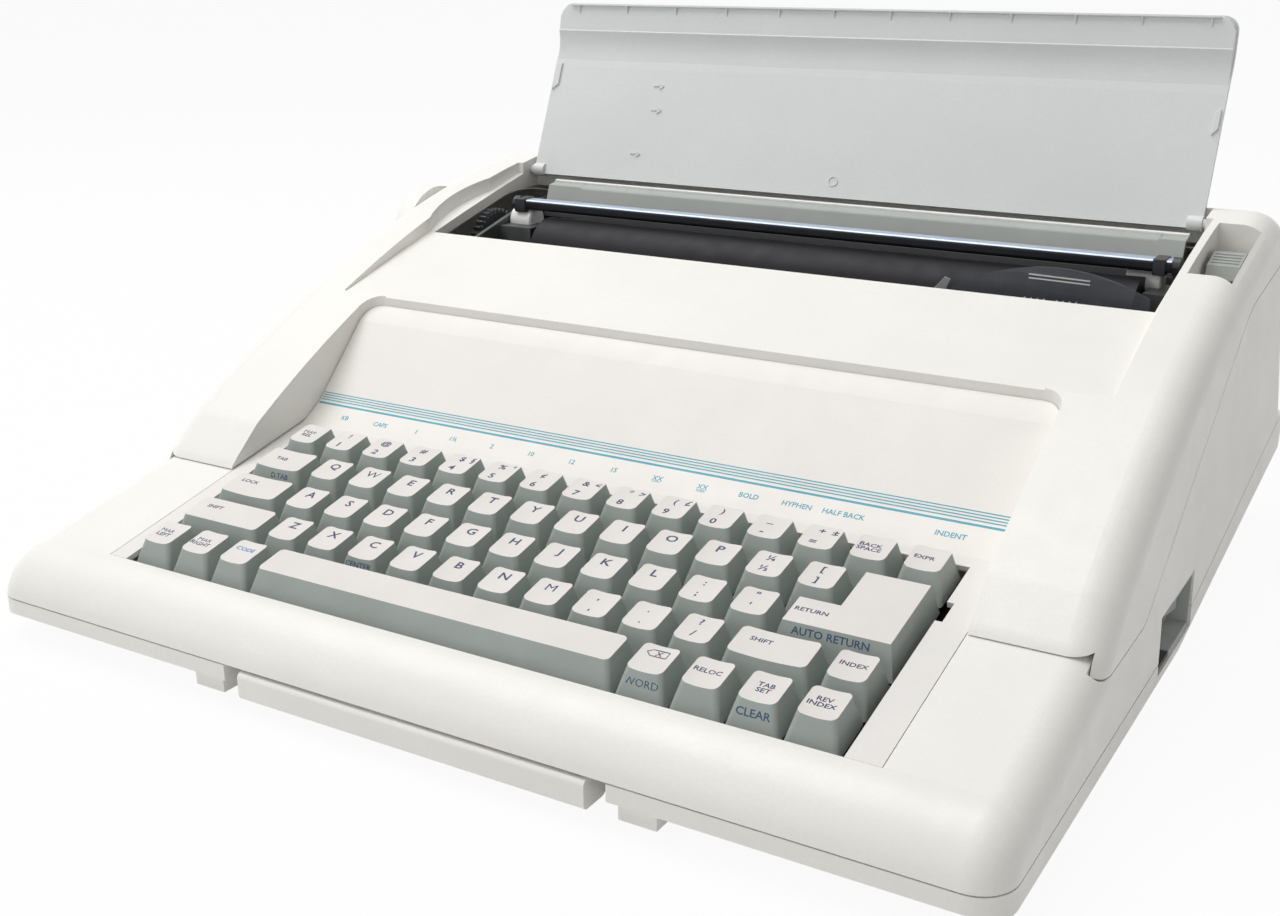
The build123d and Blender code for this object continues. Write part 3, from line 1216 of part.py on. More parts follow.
with BuildPart() as mains_inlet:
    with Locations(REAR_PLANE.location * Location((-INLET_X, 0, -8.5))):
        Box(INLET_SIZE[0], INLET_SIZE[1], 17)
    with Locations(REAR_PLANE.location * Location((-INLET_X, 0, -WALL - 0.75))):
        Box(INLET_SIZE[0] + 8, INLET_SIZE[1] + 6, 1.5)
    with Locations(REAR_PLANE.location * Location((-INLET_X, 0, -5))):
        Box(INLET_SIZE[0] - 4, INLET_SIZE[1] - 4, 14, mode=Mode.SUBTRACT)
    for x in (-5, 5):
        with Locations(REAR_PLANE.location * Location((-INLET_X + x, 0, -9))):
            Cylinder(1.5, 9)
save(mains_inlet, "mains_inlet")

# Power switch

SWITCH_FACE = HALF - 1.3
SWITCH_FLOOR = SWITCH_FACE - SWITCH_DEPTH
ROCKER_Y = SWITCH_Y + 9.0

with BuildPart() as switch_housing:
    block((SWITCH_FLOOR - 12, SWITCH_FACE), SWITCH_ROOM[1], (SWITCH_LOW, SWITCH_HIGH))
    block((SWITCH_FLOOR, SWITCH_FACE + 1), (SWITCH_ROOM[1][0] + 1.5, SWITCH_ROOM[1][1] - 1.5),
          (SWITCH_LOW + 1.5, SWITCH_HIGH - 1.5), Mode.SUBTRACT)
    block((SWITCH_FLOOR - 10, SWITCH_FLOOR + 1), (ROCKER_Y - ROCKER_SIZE[0] / 2 - 0.6, ROCKER_Y + ROCKER_SIZE[0] / 2 + 0.6),
          (ROCKER_Z - ROCKER_SIZE[1] / 2 - 0.3, ROCKER_Z + ROCKER_SIZE[1] / 2 + 0.3), Mode.SUBTRACT)
    post(SWITCH_FLOOR - 3, ROCKER_Y, (ROCKER_Z - ROCKER_SIZE[1] / 2 - 1, ROCKER_Z + ROCKER_SIZE[1] / 2 + 1), 1.5)
save(switch_housing, "switch_housing")

with BuildPart() as power_rocker:
    with BuildSketch(Plane.XY.offset(ROCKER_Z - ROCKER_SIZE[1] / 2)):
        with BuildLine():
            x, y, half = SWITCH_FLOOR, ROCKER_Y, ROCKER_SIZE[0] / 2
            Polyline((x - 5.5, y - 4), (x - 5.5, y + 4), (x - 1.5, y + half), (x + 3.4, y + half), (x + 1.5, y),
                     (x + 3.4, y - half), (x - 1.5, y - half), close=True)
        make_face()
        with Locations((SWITCH_FLOOR - 3, ROCKER_Y)):
            Circle(1.58, mode=Mode.SUBTRACT)
    extrude(amount=ROCKER_SIZE[1])
save(power_rocker, "power_rocker")

# Carry handle

with BuildPart() as carry_handle:
    block((-HANDLE_HALF, HANDLE_HALF), (FRONT_Y - 1, FRONT_Y - 1 + HANDLE_BAR[0]), (HANDLE_LOW, HANDLE_LOW + HANDLE_BAR[1]))
    fillet(carry_handle.edges().filter_by(Axis.X), 2)
    for side in (-1, 1):
        x = side * HANDLE_ARM_X
        block((x - HANDLE_ARM_WIDTH / 2, x + HANDLE_ARM_WIDTH / 2), (FRONT_Y + HANDLE_BAR[0] - 2, HANDLE_ARM_END),
              (ARM_Z, ARM_Z + 4))
        block((x - HANDLE_ARM_WIDTH / 2 - 1.8, x + HANDLE_ARM_WIDTH / 2 + 1.8), (HANDLE_BACK + WALL + 42.5, HANDLE_ARM_END),
              (ARM_Z, ARM_Z + 4))
save(carry_handle, "carry_handle")
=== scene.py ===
# %% [markdown]
# # An electric typewriter, dressed over its CAD frame
# The frame holds every real part at its real size: covers, keys, platen, carriage, lid.
# This file adds what a printer, a moulder and a photographer would add: finishes, printed
# legends, stripes, small moulded marks, light, floor and camera. Nothing of the frame moves.

# %% Load the frame
import json
from math import cos, pi, radians, sin, sqrt

import bmesh
import bpy
from mathutils import Matrix, Vector


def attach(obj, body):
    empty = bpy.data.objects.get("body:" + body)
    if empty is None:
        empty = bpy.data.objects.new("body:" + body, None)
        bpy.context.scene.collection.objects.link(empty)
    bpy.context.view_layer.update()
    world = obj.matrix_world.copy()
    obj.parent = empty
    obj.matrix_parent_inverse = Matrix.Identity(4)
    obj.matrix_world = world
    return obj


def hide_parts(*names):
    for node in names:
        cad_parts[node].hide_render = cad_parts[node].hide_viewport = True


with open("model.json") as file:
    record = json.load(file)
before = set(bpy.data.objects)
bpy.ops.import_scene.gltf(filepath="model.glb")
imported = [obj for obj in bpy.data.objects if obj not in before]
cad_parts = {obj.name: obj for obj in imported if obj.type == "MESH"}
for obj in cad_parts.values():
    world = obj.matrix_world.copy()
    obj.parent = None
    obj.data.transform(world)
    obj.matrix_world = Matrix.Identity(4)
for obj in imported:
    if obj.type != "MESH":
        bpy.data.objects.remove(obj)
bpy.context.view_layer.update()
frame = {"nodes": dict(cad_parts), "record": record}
NODES = frame["nodes"]

# %% [markdown]
# ## Units and the three tilted surfaces
# Blender works in metres, but a typewriter is easier to think of in millimetres, so one helper
# turns millimetres into Blender's units. Three surfaces carry all the print and the small marks:
# the keyboard's tilted plane, the folded label panel and the lid. Each gets a function that
# takes a place on that surface and returns a point in space. Empties turned to each surface
# would do the same, but a function can be read, and needs no extra objects.

# %% Keyboard plane, panel and lid
MM = 0.001
KEY_TILT = radians(12.2)
KEY_ORIGIN = Vector((0, -116.13, 43.77))
KEY_UP_SLOPE = Vector((0, cos(KEY_TILT), sin(KEY_TILT)))
KEY_OUT = Vector((0, -sin(KEY_TILT), cos(KEY_TILT)))
PANEL_FOOT = Vector((0, -61.5, 54.8))
PANEL_BEND = Vector((0, -49.0, 62.5))
PANEL_TOP = Vector((0, -21.0, 91.0))
LID_FOOT = Vector((0, 128.0, 135.0))
LID_FLAT_END = Vector((0, 149.9, 186.0))
ACROSS = Vector((1, 0, 0))


def key_point(x, s, h):
    """A point by its place on the keyboard plane, in mm: across, up the slope, out of it."""
    return (KEY_ORIGIN + ACROSS * x + KEY_UP_SLOPE * s + KEY_OUT * h) * MM


def on_slope(start, end, x, along, lift):
    """A point on a flat strip that runs from start to end, lifted off its face, in mm."""
    run = (end - start).normalized()
    out = ACROSS.cross(run)
    return (start + ACROSS * x + run * along + out * lift) * MM


def panel_point(x, along, lift):
    """A point on the panel, measured from its bend: up the tall slope, or down if negative."""
    if along >= 0:
        return on_slope(PANEL_BEND, PANEL_TOP, x, along, lift)
    return on_slope(PANEL_BEND, PANEL_BEND * 2 - PANEL_FOOT, x, along, lift)


def lid_point(x, along, lift):
    """A point on the lid's inner face, measured up from its foot."""
    return on_slope(LID_FOOT, LID_FLAT_END, x, along, lift)


print("middle of the keyboard plane:", [round(v, 4) for v in key_point(0, 0, 0)])

# %% [markdown]
# ## Camera
# The view is a normal lens from the front right, a little above. The place, the aim and the small
# roll come from the straight edges of the keyboard and the case. The camera is turned by a vector
# from its place to its aim, which stays right when either is changed.

# %% Camera
CAMERA_PLACE = Vector((287.6, -516.0, 247.3))
CAMERA_AIM = Vector((-36.0, 20.0, 36.0))
CAMERA_ROLL = radians(-0.354)
SENSOR = 36.0
LENS = 43.42
NEAREST_SEEN = 0.02
FARTHEST_SEEN = 60.0

lens = bpy.data.cameras.new("studio_lens")
lens.sensor_width = SENSOR
lens.lens = LENS
lens.clip_start = NEAREST_SEEN
lens.clip_end = FARTHEST_SEEN
camera = bpy.data.objects.new("studio_camera", lens)
bpy.context.scene.collection.objects.link(camera)
look = (CAMERA_AIM - CAMERA_PLACE).to_track_quat("-Z", "Y").to_matrix().to_4x4()
roll = Matrix.Rotation(CAMERA_ROLL, 4, "Z")
camera.matrix_world = Matrix.Translation(CAMERA_PLACE * MM) @ look @ roll
bpy.context.scene.camera = camera
print("camera at", [round(v, 3) for v in camera.location])

# %% [markdown]
# ## Helpers for meshes
# Small moulded parts and printed strokes are plates, bars and rings: all of them are closed solids
# through a row of outlines. Adding Blender's own cubes and cylinders would give one object for
# each. A bmesh holds many solids in one piece instead, and `finish_piece` makes it a real object
# that rides on a body of the frame.


# %% Mesh helpers
def finish_piece(name, shape, material, body, soften=0.0):
    """Turns a bmesh into a piece that rides on a body of the frame, its edges softened in mm."""
    bmesh.ops.recalc_face_normals(shape, faces=shape.faces)
    mesh = bpy.data.meshes.new(name)
    shape.to_mesh(mesh)
    shape.free()
    mesh.materials.append(material)
    piece = bpy.data.objects.new(name, mesh)
    bpy.context.scene.collection.objects.link(piece)
    if soften:
        edge = piece.modifiers.new("soft edges", "BEVEL")
        edge.width = soften * MM
        edge.segments = 2
        edge.limit_method = "ANGLE"
        mesh.shade_smooth()
        piece.modifiers.new("even light", "WEIGHTED_NORMAL")
    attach(piece, body)
    print(name, "on", body, len(mesh.polygons), "faces")
    return piece


def add_loft(shape, rings):
    """A closed solid through two or more rings of as many points."""
    made = [[shape.verts.new(p) for p in ring] for ring in rings]
    for a, b in zip(made, made[1:]):
        for i in range(len(a)):
            j = (i + 1) % len(a)
            shape.faces.new((a[i], a[j], b[j], b[i]))
    shape.faces.new(made[0][::-1])
    shape.faces.new(made[-1])


def add_plate(shape, place, outline, low, high):
    """A flat plate on a surface: an outline of (x, along) points between two lifts."""
    add_loft(shape, [[place(x, y, lift) for x, y in outline] for lift in (low, high)])


def add_stroke(shape, place, start, end, wide, low, high):
    """A straight stroke of a drawn sign, from start to end on a surface."""
    (x0, y0), (x1, y1) = start, end
    side = Vector((y0 - y1, x1 - x0)).normalized() * wide / 2
    outline = [(x0 - side.x, y0 - side.y), (x1 - side.x, y1 - side.y),
               (x1 + side.x, y1 + side.y), (x0 + side.x, y0 + side.y)]
    add_plate(shape, place, outline, low, high)


def box_outline(x, y):
    """Four corners from two ends on each axis."""
    return [(x[0], y[0]), (x[1], y[0]), (x[1], y[1]), (x[0], y[1])]


# %% [markdown]
# ## Finishes
# Almost everything here is moulded plastic. Real moulded plastic is never one flat colour: it
# clouds a little, its spark-eroded mould leaves a fine grain, and its gloss changes from place to
# place. A picture could be wrapped round each piece, but it would blur close up. So a finish is
# worked out from noises in the piece's own coordinates, which hold at any distance.


# %% Colours and noises
SRGB_KNEE = 0.04045


def paint(r, g, b):
    """A colour as seen on a screen, 0 to 255, turned into Blender's linear values."""
    # The sRGB curve: a short straight foot, then a power
    shares = [c / 255 for c in (r, g, b)]
    linear = [s / 12.92 if s <= SRGB_KNEE else ((s + 0.055) / 1.055) ** 2.4 for s in shares]
    return tuple(linear) + (1,)


def clouded(colour, amount):
    """The colour a little darker, for the clouds in it."""
    return tuple(c * (1 - amount) for c in colour[:3]) + (1,)


def shader_of(name):
    """A new material with its shader and a place for the surface's own coordinates."""
    material = bpy.data.materials.new(name)
    material.use_nodes = True
    nodes = material.node_tree.nodes
    shader = next(n for n in nodes if n.type == "BSDF_PRINCIPLED")
    where = nodes.new("ShaderNodeTexCoord")
    return material, shader, where


def noise(material, where, size, stretch=(1, 1, 1), detail=2.0):
    """A noise whose lumps are about size mm across, longer where stretched."""
    nodes, links = material.node_tree.nodes, material.node_tree.links
    mapping = nodes.new("ShaderNodeMapping")
    mapping.inputs["Scale"].default_value = [1 / (size * MM * s) for s in stretch]
    texture = nodes.new("ShaderNodeTexNoise")
    texture.inputs["Scale"].default_value = 1.0
    texture.inputs["Detail"].default_value = detail
    links.new(where.outputs["Object"], mapping.inputs["Vector"])
    links.new(mapping.outputs["Vector"], texture.inputs["Vector"])
    return texture.outputs["Fac"]


def spread(material, value, low, high, start=0.3, end=0.7):
    """Stretches a value from start to end, such as a noise, over a range from low to high."""
    ramp = material.node_tree.nodes.new("ShaderNodeMapRange")
    for name, number in (("From Min", start), ("From Max", end), ("To Min", low), ("To Max", high)):
        ramp.inputs[name].default_value = number
    material.node_tree.links.new(value, ramp.inputs["Value"])
    return ramp.outputs["Result"]


def blend_colours(material, factor, one, other):
    """A colour between two, by a factor. Each of the two is a colour or a node's output."""
    mix = material.node_tree.nodes.new("ShaderNodeMix")
    mix.data_type = "RGBA"
    for socket, value in ((mix.inputs["A"], one), (mix.inputs["B"], other)):
        if hasattr(value, "is_linked"):
            material.node_tree.links.new(value, socket)
        else:
            socket.default_value = value
    material.node_tree.links.new(factor, mix.inputs["Factor"])
    return mix.outputs["Result"]


# %% Grain and gloss
RELIEF_STRENGTH = 0.6
RELIEF_DETAIL = 3.0


def add_grain(material, shader, where, size, depth, stretch=(1, 1, 1)):
    """A fine relief in the surface, depth in mm."""
    bump = material.node_tree.nodes.new("ShaderNodeBump")
    bump.inputs["Strength"].default_value = RELIEF_STRENGTH
    bump.inputs["Distance"].default_value = depth * MM
    links = material.node_tree.links
    links.new(noise(material, where, size, stretch, RELIEF_DETAIL), bump.inputs["Height"])
    links.new(bump.outputs["Normal"], shader.inputs["Normal"])


def add_gloss(material, shader, where, size, low, high):
    """A roughness that drifts from low to high in patches of size mm."""
    patches = spread(material, noise(material, where, size), low, high)
    material.node_tree.links.new(patches, shader.inputs["Roughness"])


# %% Moulded surfaces
CLOUD_SIZE = 38
CLOUD_DETAIL = 4.0
SPECK_SIZE = 1.6
SPECK_RANGE = (0.35, 0.65)
SPECK_SHARE = 0.5
SPECK_DARKER = 1.4
GLOSS_PATCH = 9
SMOOTHER = 0.05
ROUGHER = 0.06


def moulded(name, colour, roughness=0.5, cloud=0.05, grain=0.7, depth=0.05, metallic=0.0,
            stretch=(1, 1, 1), specular=0.5):
    """A moulded, painted or ground surface: clouds and specks in its colour, gloss and grain."""
    material, shader, where = shader_of(name)
    clouds = spread(material, noise(material, where, CLOUD_SIZE, detail=CLOUD_DETAIL), 0, 1)
    tone = blend_colours(material, clouds, colour, clouded(colour, cloud))
    specks = spread(material, noise(material, where, grain * SPECK_SIZE, stretch), 0, 1, *SPECK_RANGE)
    faint = spread(material, specks, 0, SPECK_SHARE, 0, 1)
    tone = blend_colours(material, faint, tone, clouded(colour, cloud * SPECK_DARKER))
    material.node_tree.links.new(tone, shader.inputs["Base Color"])
    add_gloss(material, shader, where, GLOSS_PATCH, roughness - SMOOTHER, roughness + ROUGHER)
    shader.inputs["Metallic"].default_value = metallic
    shader.inputs["Specular IOR Level"].default_value = specular
    add_grain(material, shader, where, grain, depth, stretch)
    return material


# %% Finish of each slot
ALONG_X = (14, 1, 1)
FINISH = {
    "case_plastic": moulded("warm white case", paint(242, 240, 234), 0.42),
    "frame_plastic": moulded("warm white frame", paint(233, 230, 226), 0.45),
    "panel_plastic": moulded("printed panel", paint(240, 236, 231), 0.55, cloud=0.04, grain=0.5),
    # The lid is of the case's plastic; its colour is set greyer than the case's: painted shade, for
    # an inner face that turns away from the light above.
    "lid_plastic": moulded("lid, painted shade inside", paint(220, 222, 222), 0.4, grain=0.9, depth=0.08),
    "roller_rubber": moulded("platen rubber", paint(20, 20, 25), 0.5, cloud=0.25, grain=0.5,
                             depth=0.02, specular=0.2),
    "foot_rubber": moulded("foot rubber", paint(44, 44, 46), 0.8, cloud=0.2),
    "dark_plastic": moulded("dark plastic", paint(36, 37, 40), 0.4, cloud=0.2, grain=0.5),
    "grey_plastic": moulded("grey plastic", paint(168, 172, 168), 0.45, cloud=0.08, grain=0.8,
                            depth=0.06),
    "white_plastic": moulded("white plastic", paint(236, 236, 233), 0.35, grain=0.6),
    "bright_steel": moulded("ground steel", paint(205, 208, 212), 0.2, cloud=0.1, grain=0.12,
                            depth=0.004, metallic=1.0, stretch=ALONG_X),
    "sheet_steel": moulded("zinc plated sheet", paint(112, 115, 114), 0.5, cloud=0.25, grain=3.0,
                           depth=0.01, metallic=1.0),
    "motor_steel": moulded("plated cans", paint(140, 140, 142), 0.35, cloud=0.15, grain=1.0,
                           depth=0.01, metallic=1.0),
    "circuit_laminate": moulded("green laminate", paint(42, 92, 58), 0.3, cloud=0.2, grain=0.8,
                                depth=0.02),
    "belt_rubber": moulded("belt rubber", paint(42, 42, 42), 0.7, cloud=0.2),
    "gear_plastic": moulded("grey nylon", paint(84, 86, 88), 0.4, cloud=0.1),
}
print("moulded and ground finishes:", len(FINISH))

# %% [markdown]
# ## Pieces with two finishes and pieces with painted light
# Some pieces show two colours at once. The key caps have warm white tops over grey skirts, and
# the bail carries a painted highlight on its upper face only: there the material asks which way a
# face looks. The paper chute is grey above with painted shade below, where the bail shades it, and
# the switch's well has painted shade in front, where it runs deep: there it asks where a point
# lies. Cutting the meshes in two would do it as well, but the frame's nodes stay whole, and a mask
# is easy to shift.


# %% Masks
def facing(direction, start, end):
    """A mask of the faces that look along a direction: none before start, all after end."""
    def mask(material, where):
        nodes, links = material.node_tree.nodes, material.node_tree.links
        dot = nodes.new("ShaderNodeVectorMath")
        dot.operation = "DOT_PRODUCT"
        dot.inputs[1].default_value = direction
        links.new(nodes.new("ShaderNodeNewGeometry").outputs["Normal"], dot.inputs[0])
        return spread(material, dot.outputs["Value"], 0, 1, start, end)

    return mask


def beyond(axis, start, end):
    """A mask of what lies beyond a place on an axis, by the piece's own coordinates in metres."""
    def mask(material, where):
        split = material.node_tree.nodes.new("ShaderNodeSeparateXYZ")
        material.node_tree.links.new(where.outputs["Object"], split.inputs[0])
        return spread(material, split.outputs[axis], 0, 1, start, end)

    return mask


def two_colours_by_mask(name, mask, off, on, patch, gloss, grain, stretch=(1, 1, 1), detail=2.0, metallic=0.0):
    """Two colours told apart by a mask, each of them drifting between two shades."""
    material, shader, where = shader_of(name)
    drift = spread(material, noise(material, where, patch, stretch, detail), 0, 1)
    outside = blend_colours(material, drift, *off)
    inside = blend_colours(material, drift, *on)
    colour = blend_colours(material, mask(material, where), outside, inside)
    material.node_tree.links.new(colour, shader.inputs["Base Color"])
    add_gloss(material, shader, where, *gloss)
    shader.inputs["Metallic"].default_value = metallic
    add_grain(material, shader, where, *grain, stretch)
    return material


# %% Key caps and bail
CAP_WHITE = paint(225, 221, 217)
SKIRT_GREY = paint(162, 169, 164)
UPWARD = Vector((0, 0, 1))

FINISH["key_plastic"] = two_colours_by_mask(
    "two-tone key caps", facing(KEY_OUT, 0.72, 0.86),
    off=(SKIRT_GREY, clouded(SKIRT_GREY, 0.1)), on=(CAP_WHITE, clouded(CAP_WHITE, 0.05)),
    patch=16, gloss=(5, 0.46, 0.58), grain=(0.35, 0.03), detail=CLOUD_DETAIL,
)
# The bail's upward faces are painted pale blue-white: a painted highlight, the light reflected on its
# top. Its other faces keep the dark colour of blued steel.
bail_with_painted_highlight = two_colours_by_mask(
    "blued bail steel, painted highlight on top", facing(UPWARD, 0.5, 0.8),
    off=(paint(24, 25, 30), paint(34, 35, 42)), on=(paint(196, 206, 222), paint(172, 184, 204)),
    patch=0.6, gloss=(6, 0.34, 0.46), grain=(0.2, 0.004), stretch=ALONG_X, metallic=0.6,
)
print("finished by the way a face looks:", FINISH["key_plastic"].name, "and", bail_with_painted_highlight.name)

# %% Chute and switch well
PAINTED_SHADE_LINE = 118.6
PAINTED_SHADE_BLUR = 0.3
SWITCH_PAINTED_SHADE_SHARE = 0.38
SWITCH_SHADE_BLUR = 1.5

# Below a set height the chute is near black: painted shade under the bail, in front of the platen.
# The grey above is the chute's own colour.
chute_grey_with_painted_shade = two_colours_by_mask(
    "grey chute with painted shade", beyond("Z", PAINTED_SHADE_LINE * MM, (PAINTED_SHADE_LINE + PAINTED_SHADE_BLUR) * MM),
    off=(paint(26, 26, 28), paint(34, 34, 36)), on=(paint(172, 176, 172), paint(164, 168, 164)),
    patch=30, gloss=(7, 0.5, 0.64), grain=(0.8, 0.06), detail=CLOUD_DETAIL,
)
# The front of the switch well, where it runs deep, is near black: painted shade in the recess. Behind
# it the well shows its own grey.
depths = [v.co.y for v in NODES["switch_housing"].data.vertices]
painted_shade_edge = min(depths) + (max(depths) - min(depths)) * SWITCH_PAINTED_SHADE_SHARE
switch_well_painted_shade = two_colours_by_mask(
    "switch well", beyond("Y", painted_shade_edge, painted_shade_edge + SWITCH_SHADE_BLUR * MM),
    off=(paint(30, 30, 36), paint(40, 40, 44)), on=(paint(196, 199, 196), paint(186, 189, 187)),
    patch=12, gloss=(5, 0.4, 0.5), grain=(0.7, 0.04),
)
print("switch well turns grey at", round(painted_shade_edge / MM, 1), "mm")

# %% [markdown]
# ## Clear card holder
# The card holder in front of the platen is smoky clear plastic. Light that bends through both of
# its faces would be the true way, but it is slow and shows little on so thin a sheet. So the
# plastic is tinted and partly see-through, with faint rub marks in its gloss.

# %% Smoky clear plastic
SEEN_SHARE = 0.42
BENDING = 1.49
RUB_STRETCH = (6, 1, 1)


def smoky_clear():
    """Thin dark clear plastic with faint rub marks."""
    material, shader, where = shader_of("smoky clear plastic")
    haze = spread(material, noise(material, where, 12, RUB_STRETCH), 0, 1)
    tint = blend_colours(material, haze, paint(120, 124, 130), paint(96, 100, 108))
    material.node_tree.links.new(tint, shader.inputs["Base Color"])
    add_gloss(material, shader, where, 3, 0.05, 0.14)
    shader.inputs["Alpha"].default_value = SEEN_SHARE
    shader.inputs["IOR"].default_value = BENDING
    add_grain(material, shader, where, 2.0, 0.004)
    return material


FINISH["clear_plastic"] = smoky_clear()
print("finishes by slot:", len(FINISH))

# %% [markdown]
# ## Inks
# Legends and labels are printed: a thin matt film, a little patchy where fingers rubbed it. Each
# ink is the same moulded finish with stronger clouds and almost no relief, which saves a second
# way of making a surface.


# %% Print inks
def ink(name, colour):
    """Printed ink: matt, slightly patchy where it was rubbed."""
    return moulded(name, colour, 0.6, cloud=0.14, grain=0.25, depth=0.01)


NAVY = ink("navy legend ink", paint(52, 62, 96))
BLUE = ink("blue legend ink", paint(62, 118, 182))
SLATE = ink("slate label ink", paint(62, 90, 120))
TEAL = ink("teal panel ink", paint(88, 172, 192))
# The white ink prints the card's ticks, and also paints the card's two highlight lines.
WHITE_INK_AND_HIGHLIGHT = ink("white scale ink", paint(252, 252, 252))
print("inks:", len([m for m in bpy.data.materials if m.name.endswith("ink")]))

# %% [markdown]
# ## Dress the nodes of the frame
# The frame's record says which slot each node has, so most nodes take the finish of their slot.
# A few have a finish of their own: the bail's holds a painted highlight, the chute's and the switch
# well's hold painted shade.

# %% Dress the CAD nodes
OWN_FINISH_AND_PAINTED_LIGHT = {
    "paper_chute": chute_grey_with_painted_shade, "bail_bar": bail_with_painted_highlight, "bail_arms": FINISH["dark_plastic"],
    "switch_housing": switch_well_painted_shade,
}
for row in frame["record"]["subparts"]:
    node = NODES[row["node"]]
    node.data.materials.clear()
    node.data.materials.append(OWN_FINISH_AND_PAINTED_LIGHT.get(row["node"], FINISH[row["material_slot"]]))
print("dressed", len(NODES), "nodes,", len(OWN_FINISH_AND_PAINTED_LIGHT), "of them with a finish of their own")

# %% [markdown]
# ## Letters
# Blender's own font becomes thin solid letters. A printed picture of the legends would be simpler,
# but real letters stay sharp close up. A legend is scaled to its real height, then each of its
# points is laid on the key by a placing function, so that it follows the dish of the cap.

# %% Lettering
INK_DEPTH = 0.03
FACE_WIDTH = 1.12
BOLD = 0.018
FOLDED_LETTERS = "MW"
LETTER_HALF = 0.5


def letters(text, bold=0.0):
    """A closed mesh of a word from the font at size one, its strokes thickened by bold."""
    curve = bpy.data.curves.new("lettering", "FONT")
    curve.body = text
    curve.resolution_u = 2
    curve.extrude = LETTER_HALF
    curve.offset = bold
    holder = bpy.data.objects.new("lettering", curve)
    bpy.context.scene.collection.objects.link(holder)
    bpy.context.view_layer.update()
    mesh = bpy.data.meshes.new_from_object(holder)
    bpy.data.objects.remove(holder)
    bpy.data.curves.remove(curve)
    return mesh


def cap_height():
    """How tall a capital is at size one."""
    mesh = letters("H")
    heights = [v.co.y for v in mesh.vertices]
    bpy.data.meshes.remove(mesh)
    return max(heights) - min(heights)


CAPITAL = cap_height()
print("a capital is", round(CAPITAL, 3), "tall at size one")


def add_word(shape, text, tall, place, wide=FACE_WIDTH):
    """Lays a word on a surface, centred on (0, 0) of the placing function, tall in mm."""
    # Thickened strokes would run into each other in the narrow folds of an M or a W
    mesh = letters(text, 0 if set(text) & set(FOLDED_LETTERS) else BOLD)
    scale = tall / CAPITAL
    left = min(v.co.x for v in mesh.vertices)
    right = max(v.co.x for v in mesh.vertices)
    for v in mesh.vertices:
        x = (v.co.x - (left + right) / 2) * scale * wide
        y = (v.co.y - CAPITAL / 2) * scale
        v.co = place(x, y, INK_DEPTH * (LETTER_HALF + v.co.z))
    shape.from_mesh(mesh)
    bpy.data.meshes.remove(mesh)


# %% [markdown]
# ## Where the keys are
# The keys stand in columns one pitch apart and rows one row pitch apart. Row 0 is the space bar's
# and row 4 holds the numbers. Caps are dished and stand at another height in each row, so the
# place of a legend isn't worked out from sizes: a ray is sent at the real cap, and the ink lies
# where the ray lands.

# %% Key places
KEY_PITCH = 18.78
ROW_PITCH = 19.85
KEY_LEFT = -142.9
FIRST_ROW = -39.9
ROW_RISE = (1.2, 0.2, 0.0, 0.5, 1.0)
CAP_TOP = 4.5
CAP_TOP_DEPTH = 13.0
CAP_SHIFT = 3.1
CAP_SKIRT = 5.0
SKIRT_GAP = 0.95
RAY_HEIGHT = 12
RAY_STEP_BACK = 1.5
MISSED_REACH = 8


def key_middle(left, width):
    """Middle of a key across the keyboard, from its left edge and width in key pitches."""
    return KEY_LEFT + (left + width / 2) * KEY_PITCH


def dropped(node, start, run, lift):
    """Where a line from a point first meets a node, stepped back by lift mm."""
    found, point, _, _ = NODES[node].ray_cast(start, run)
    return (point if found else start + run * MISSED_REACH * MM) - run * lift * MM


def top_place(node, row, left, width, x, s):
    """A placing function for print on a key's top, at x and s from its middle."""
    middle_s = FIRST_ROW + row * ROW_PITCH + CAP_SHIFT

    def place(u, v, lift):
        start = key_point(key_middle(left, width) + x + u, middle_s + s + v, RAY_HEIGHT)
        return dropped(node, start, -KEY_OUT, lift)

    return place


def front_place(node, row, left, width, x, share):
    """A placing function for print on a key's front face, at a share of its height."""
    foot_s = -(ROW_PITCH - SKIRT_GAP) / 2
    head_s = CAP_SHIFT - CAP_TOP_DEPTH / 2
    face = sqrt((head_s - foot_s) ** 2 + (CAP_TOP + CAP_SKIRT) ** 2)
    run_s = (head_s - foot_s) / face
    run_h = (CAP_TOP + CAP_SKIRT) / face
    inward = KEY_UP_SLOPE * run_h - KEY_OUT * run_s

    def place(u, v, lift):
        along = share * face + v
        start = key_point(
            key_middle(left, width) + x + u,
            FIRST_ROW + row * ROW_PITCH + foot_s + run_s * along,
            ROW_RISE[row] - CAP_SKIRT + run_h * along,
        )
        return dropped(node, start - inward * RAY_STEP_BACK * MM, inward, lift)

    return place


print("first column's middle:", round(key_middle(0, 1), 2), "mm")

# %% [markdown]
# ## Legends of the single-width keys
# The number row has a figure in front and its shifted sign behind. Letter keys have one capital.
# All are ordinary keyboard legends, in navy. Each row is one piece, because the row is one body.

# %% Number row
FIGURES = ["1!", "2@", "3#", "4$§", "5%°", "6¢", "7&<", "8*>", "9(£", "0)", "-_", "=+±"]
FIGURE_TALL = 3.0
SIGN_TALL = 2.8
WORD_TALL = 1.85
FIGURE_SPOT = (-1.6, -3.1)
SIGN_SPOT = (-1.0, 3.6)
THIRD_SPOT = (3.9, 3.7)
NUMBER_ROW_WORDS = ((0, ("MAR", "REL")), (13, ("BACK", "SPACE")), (14, ("EXPR",)))
WORD_X = -1.2
SINGLE_LINE = 0.4
UPPER_LINE = 1.2
LINE_STEP = 2.4

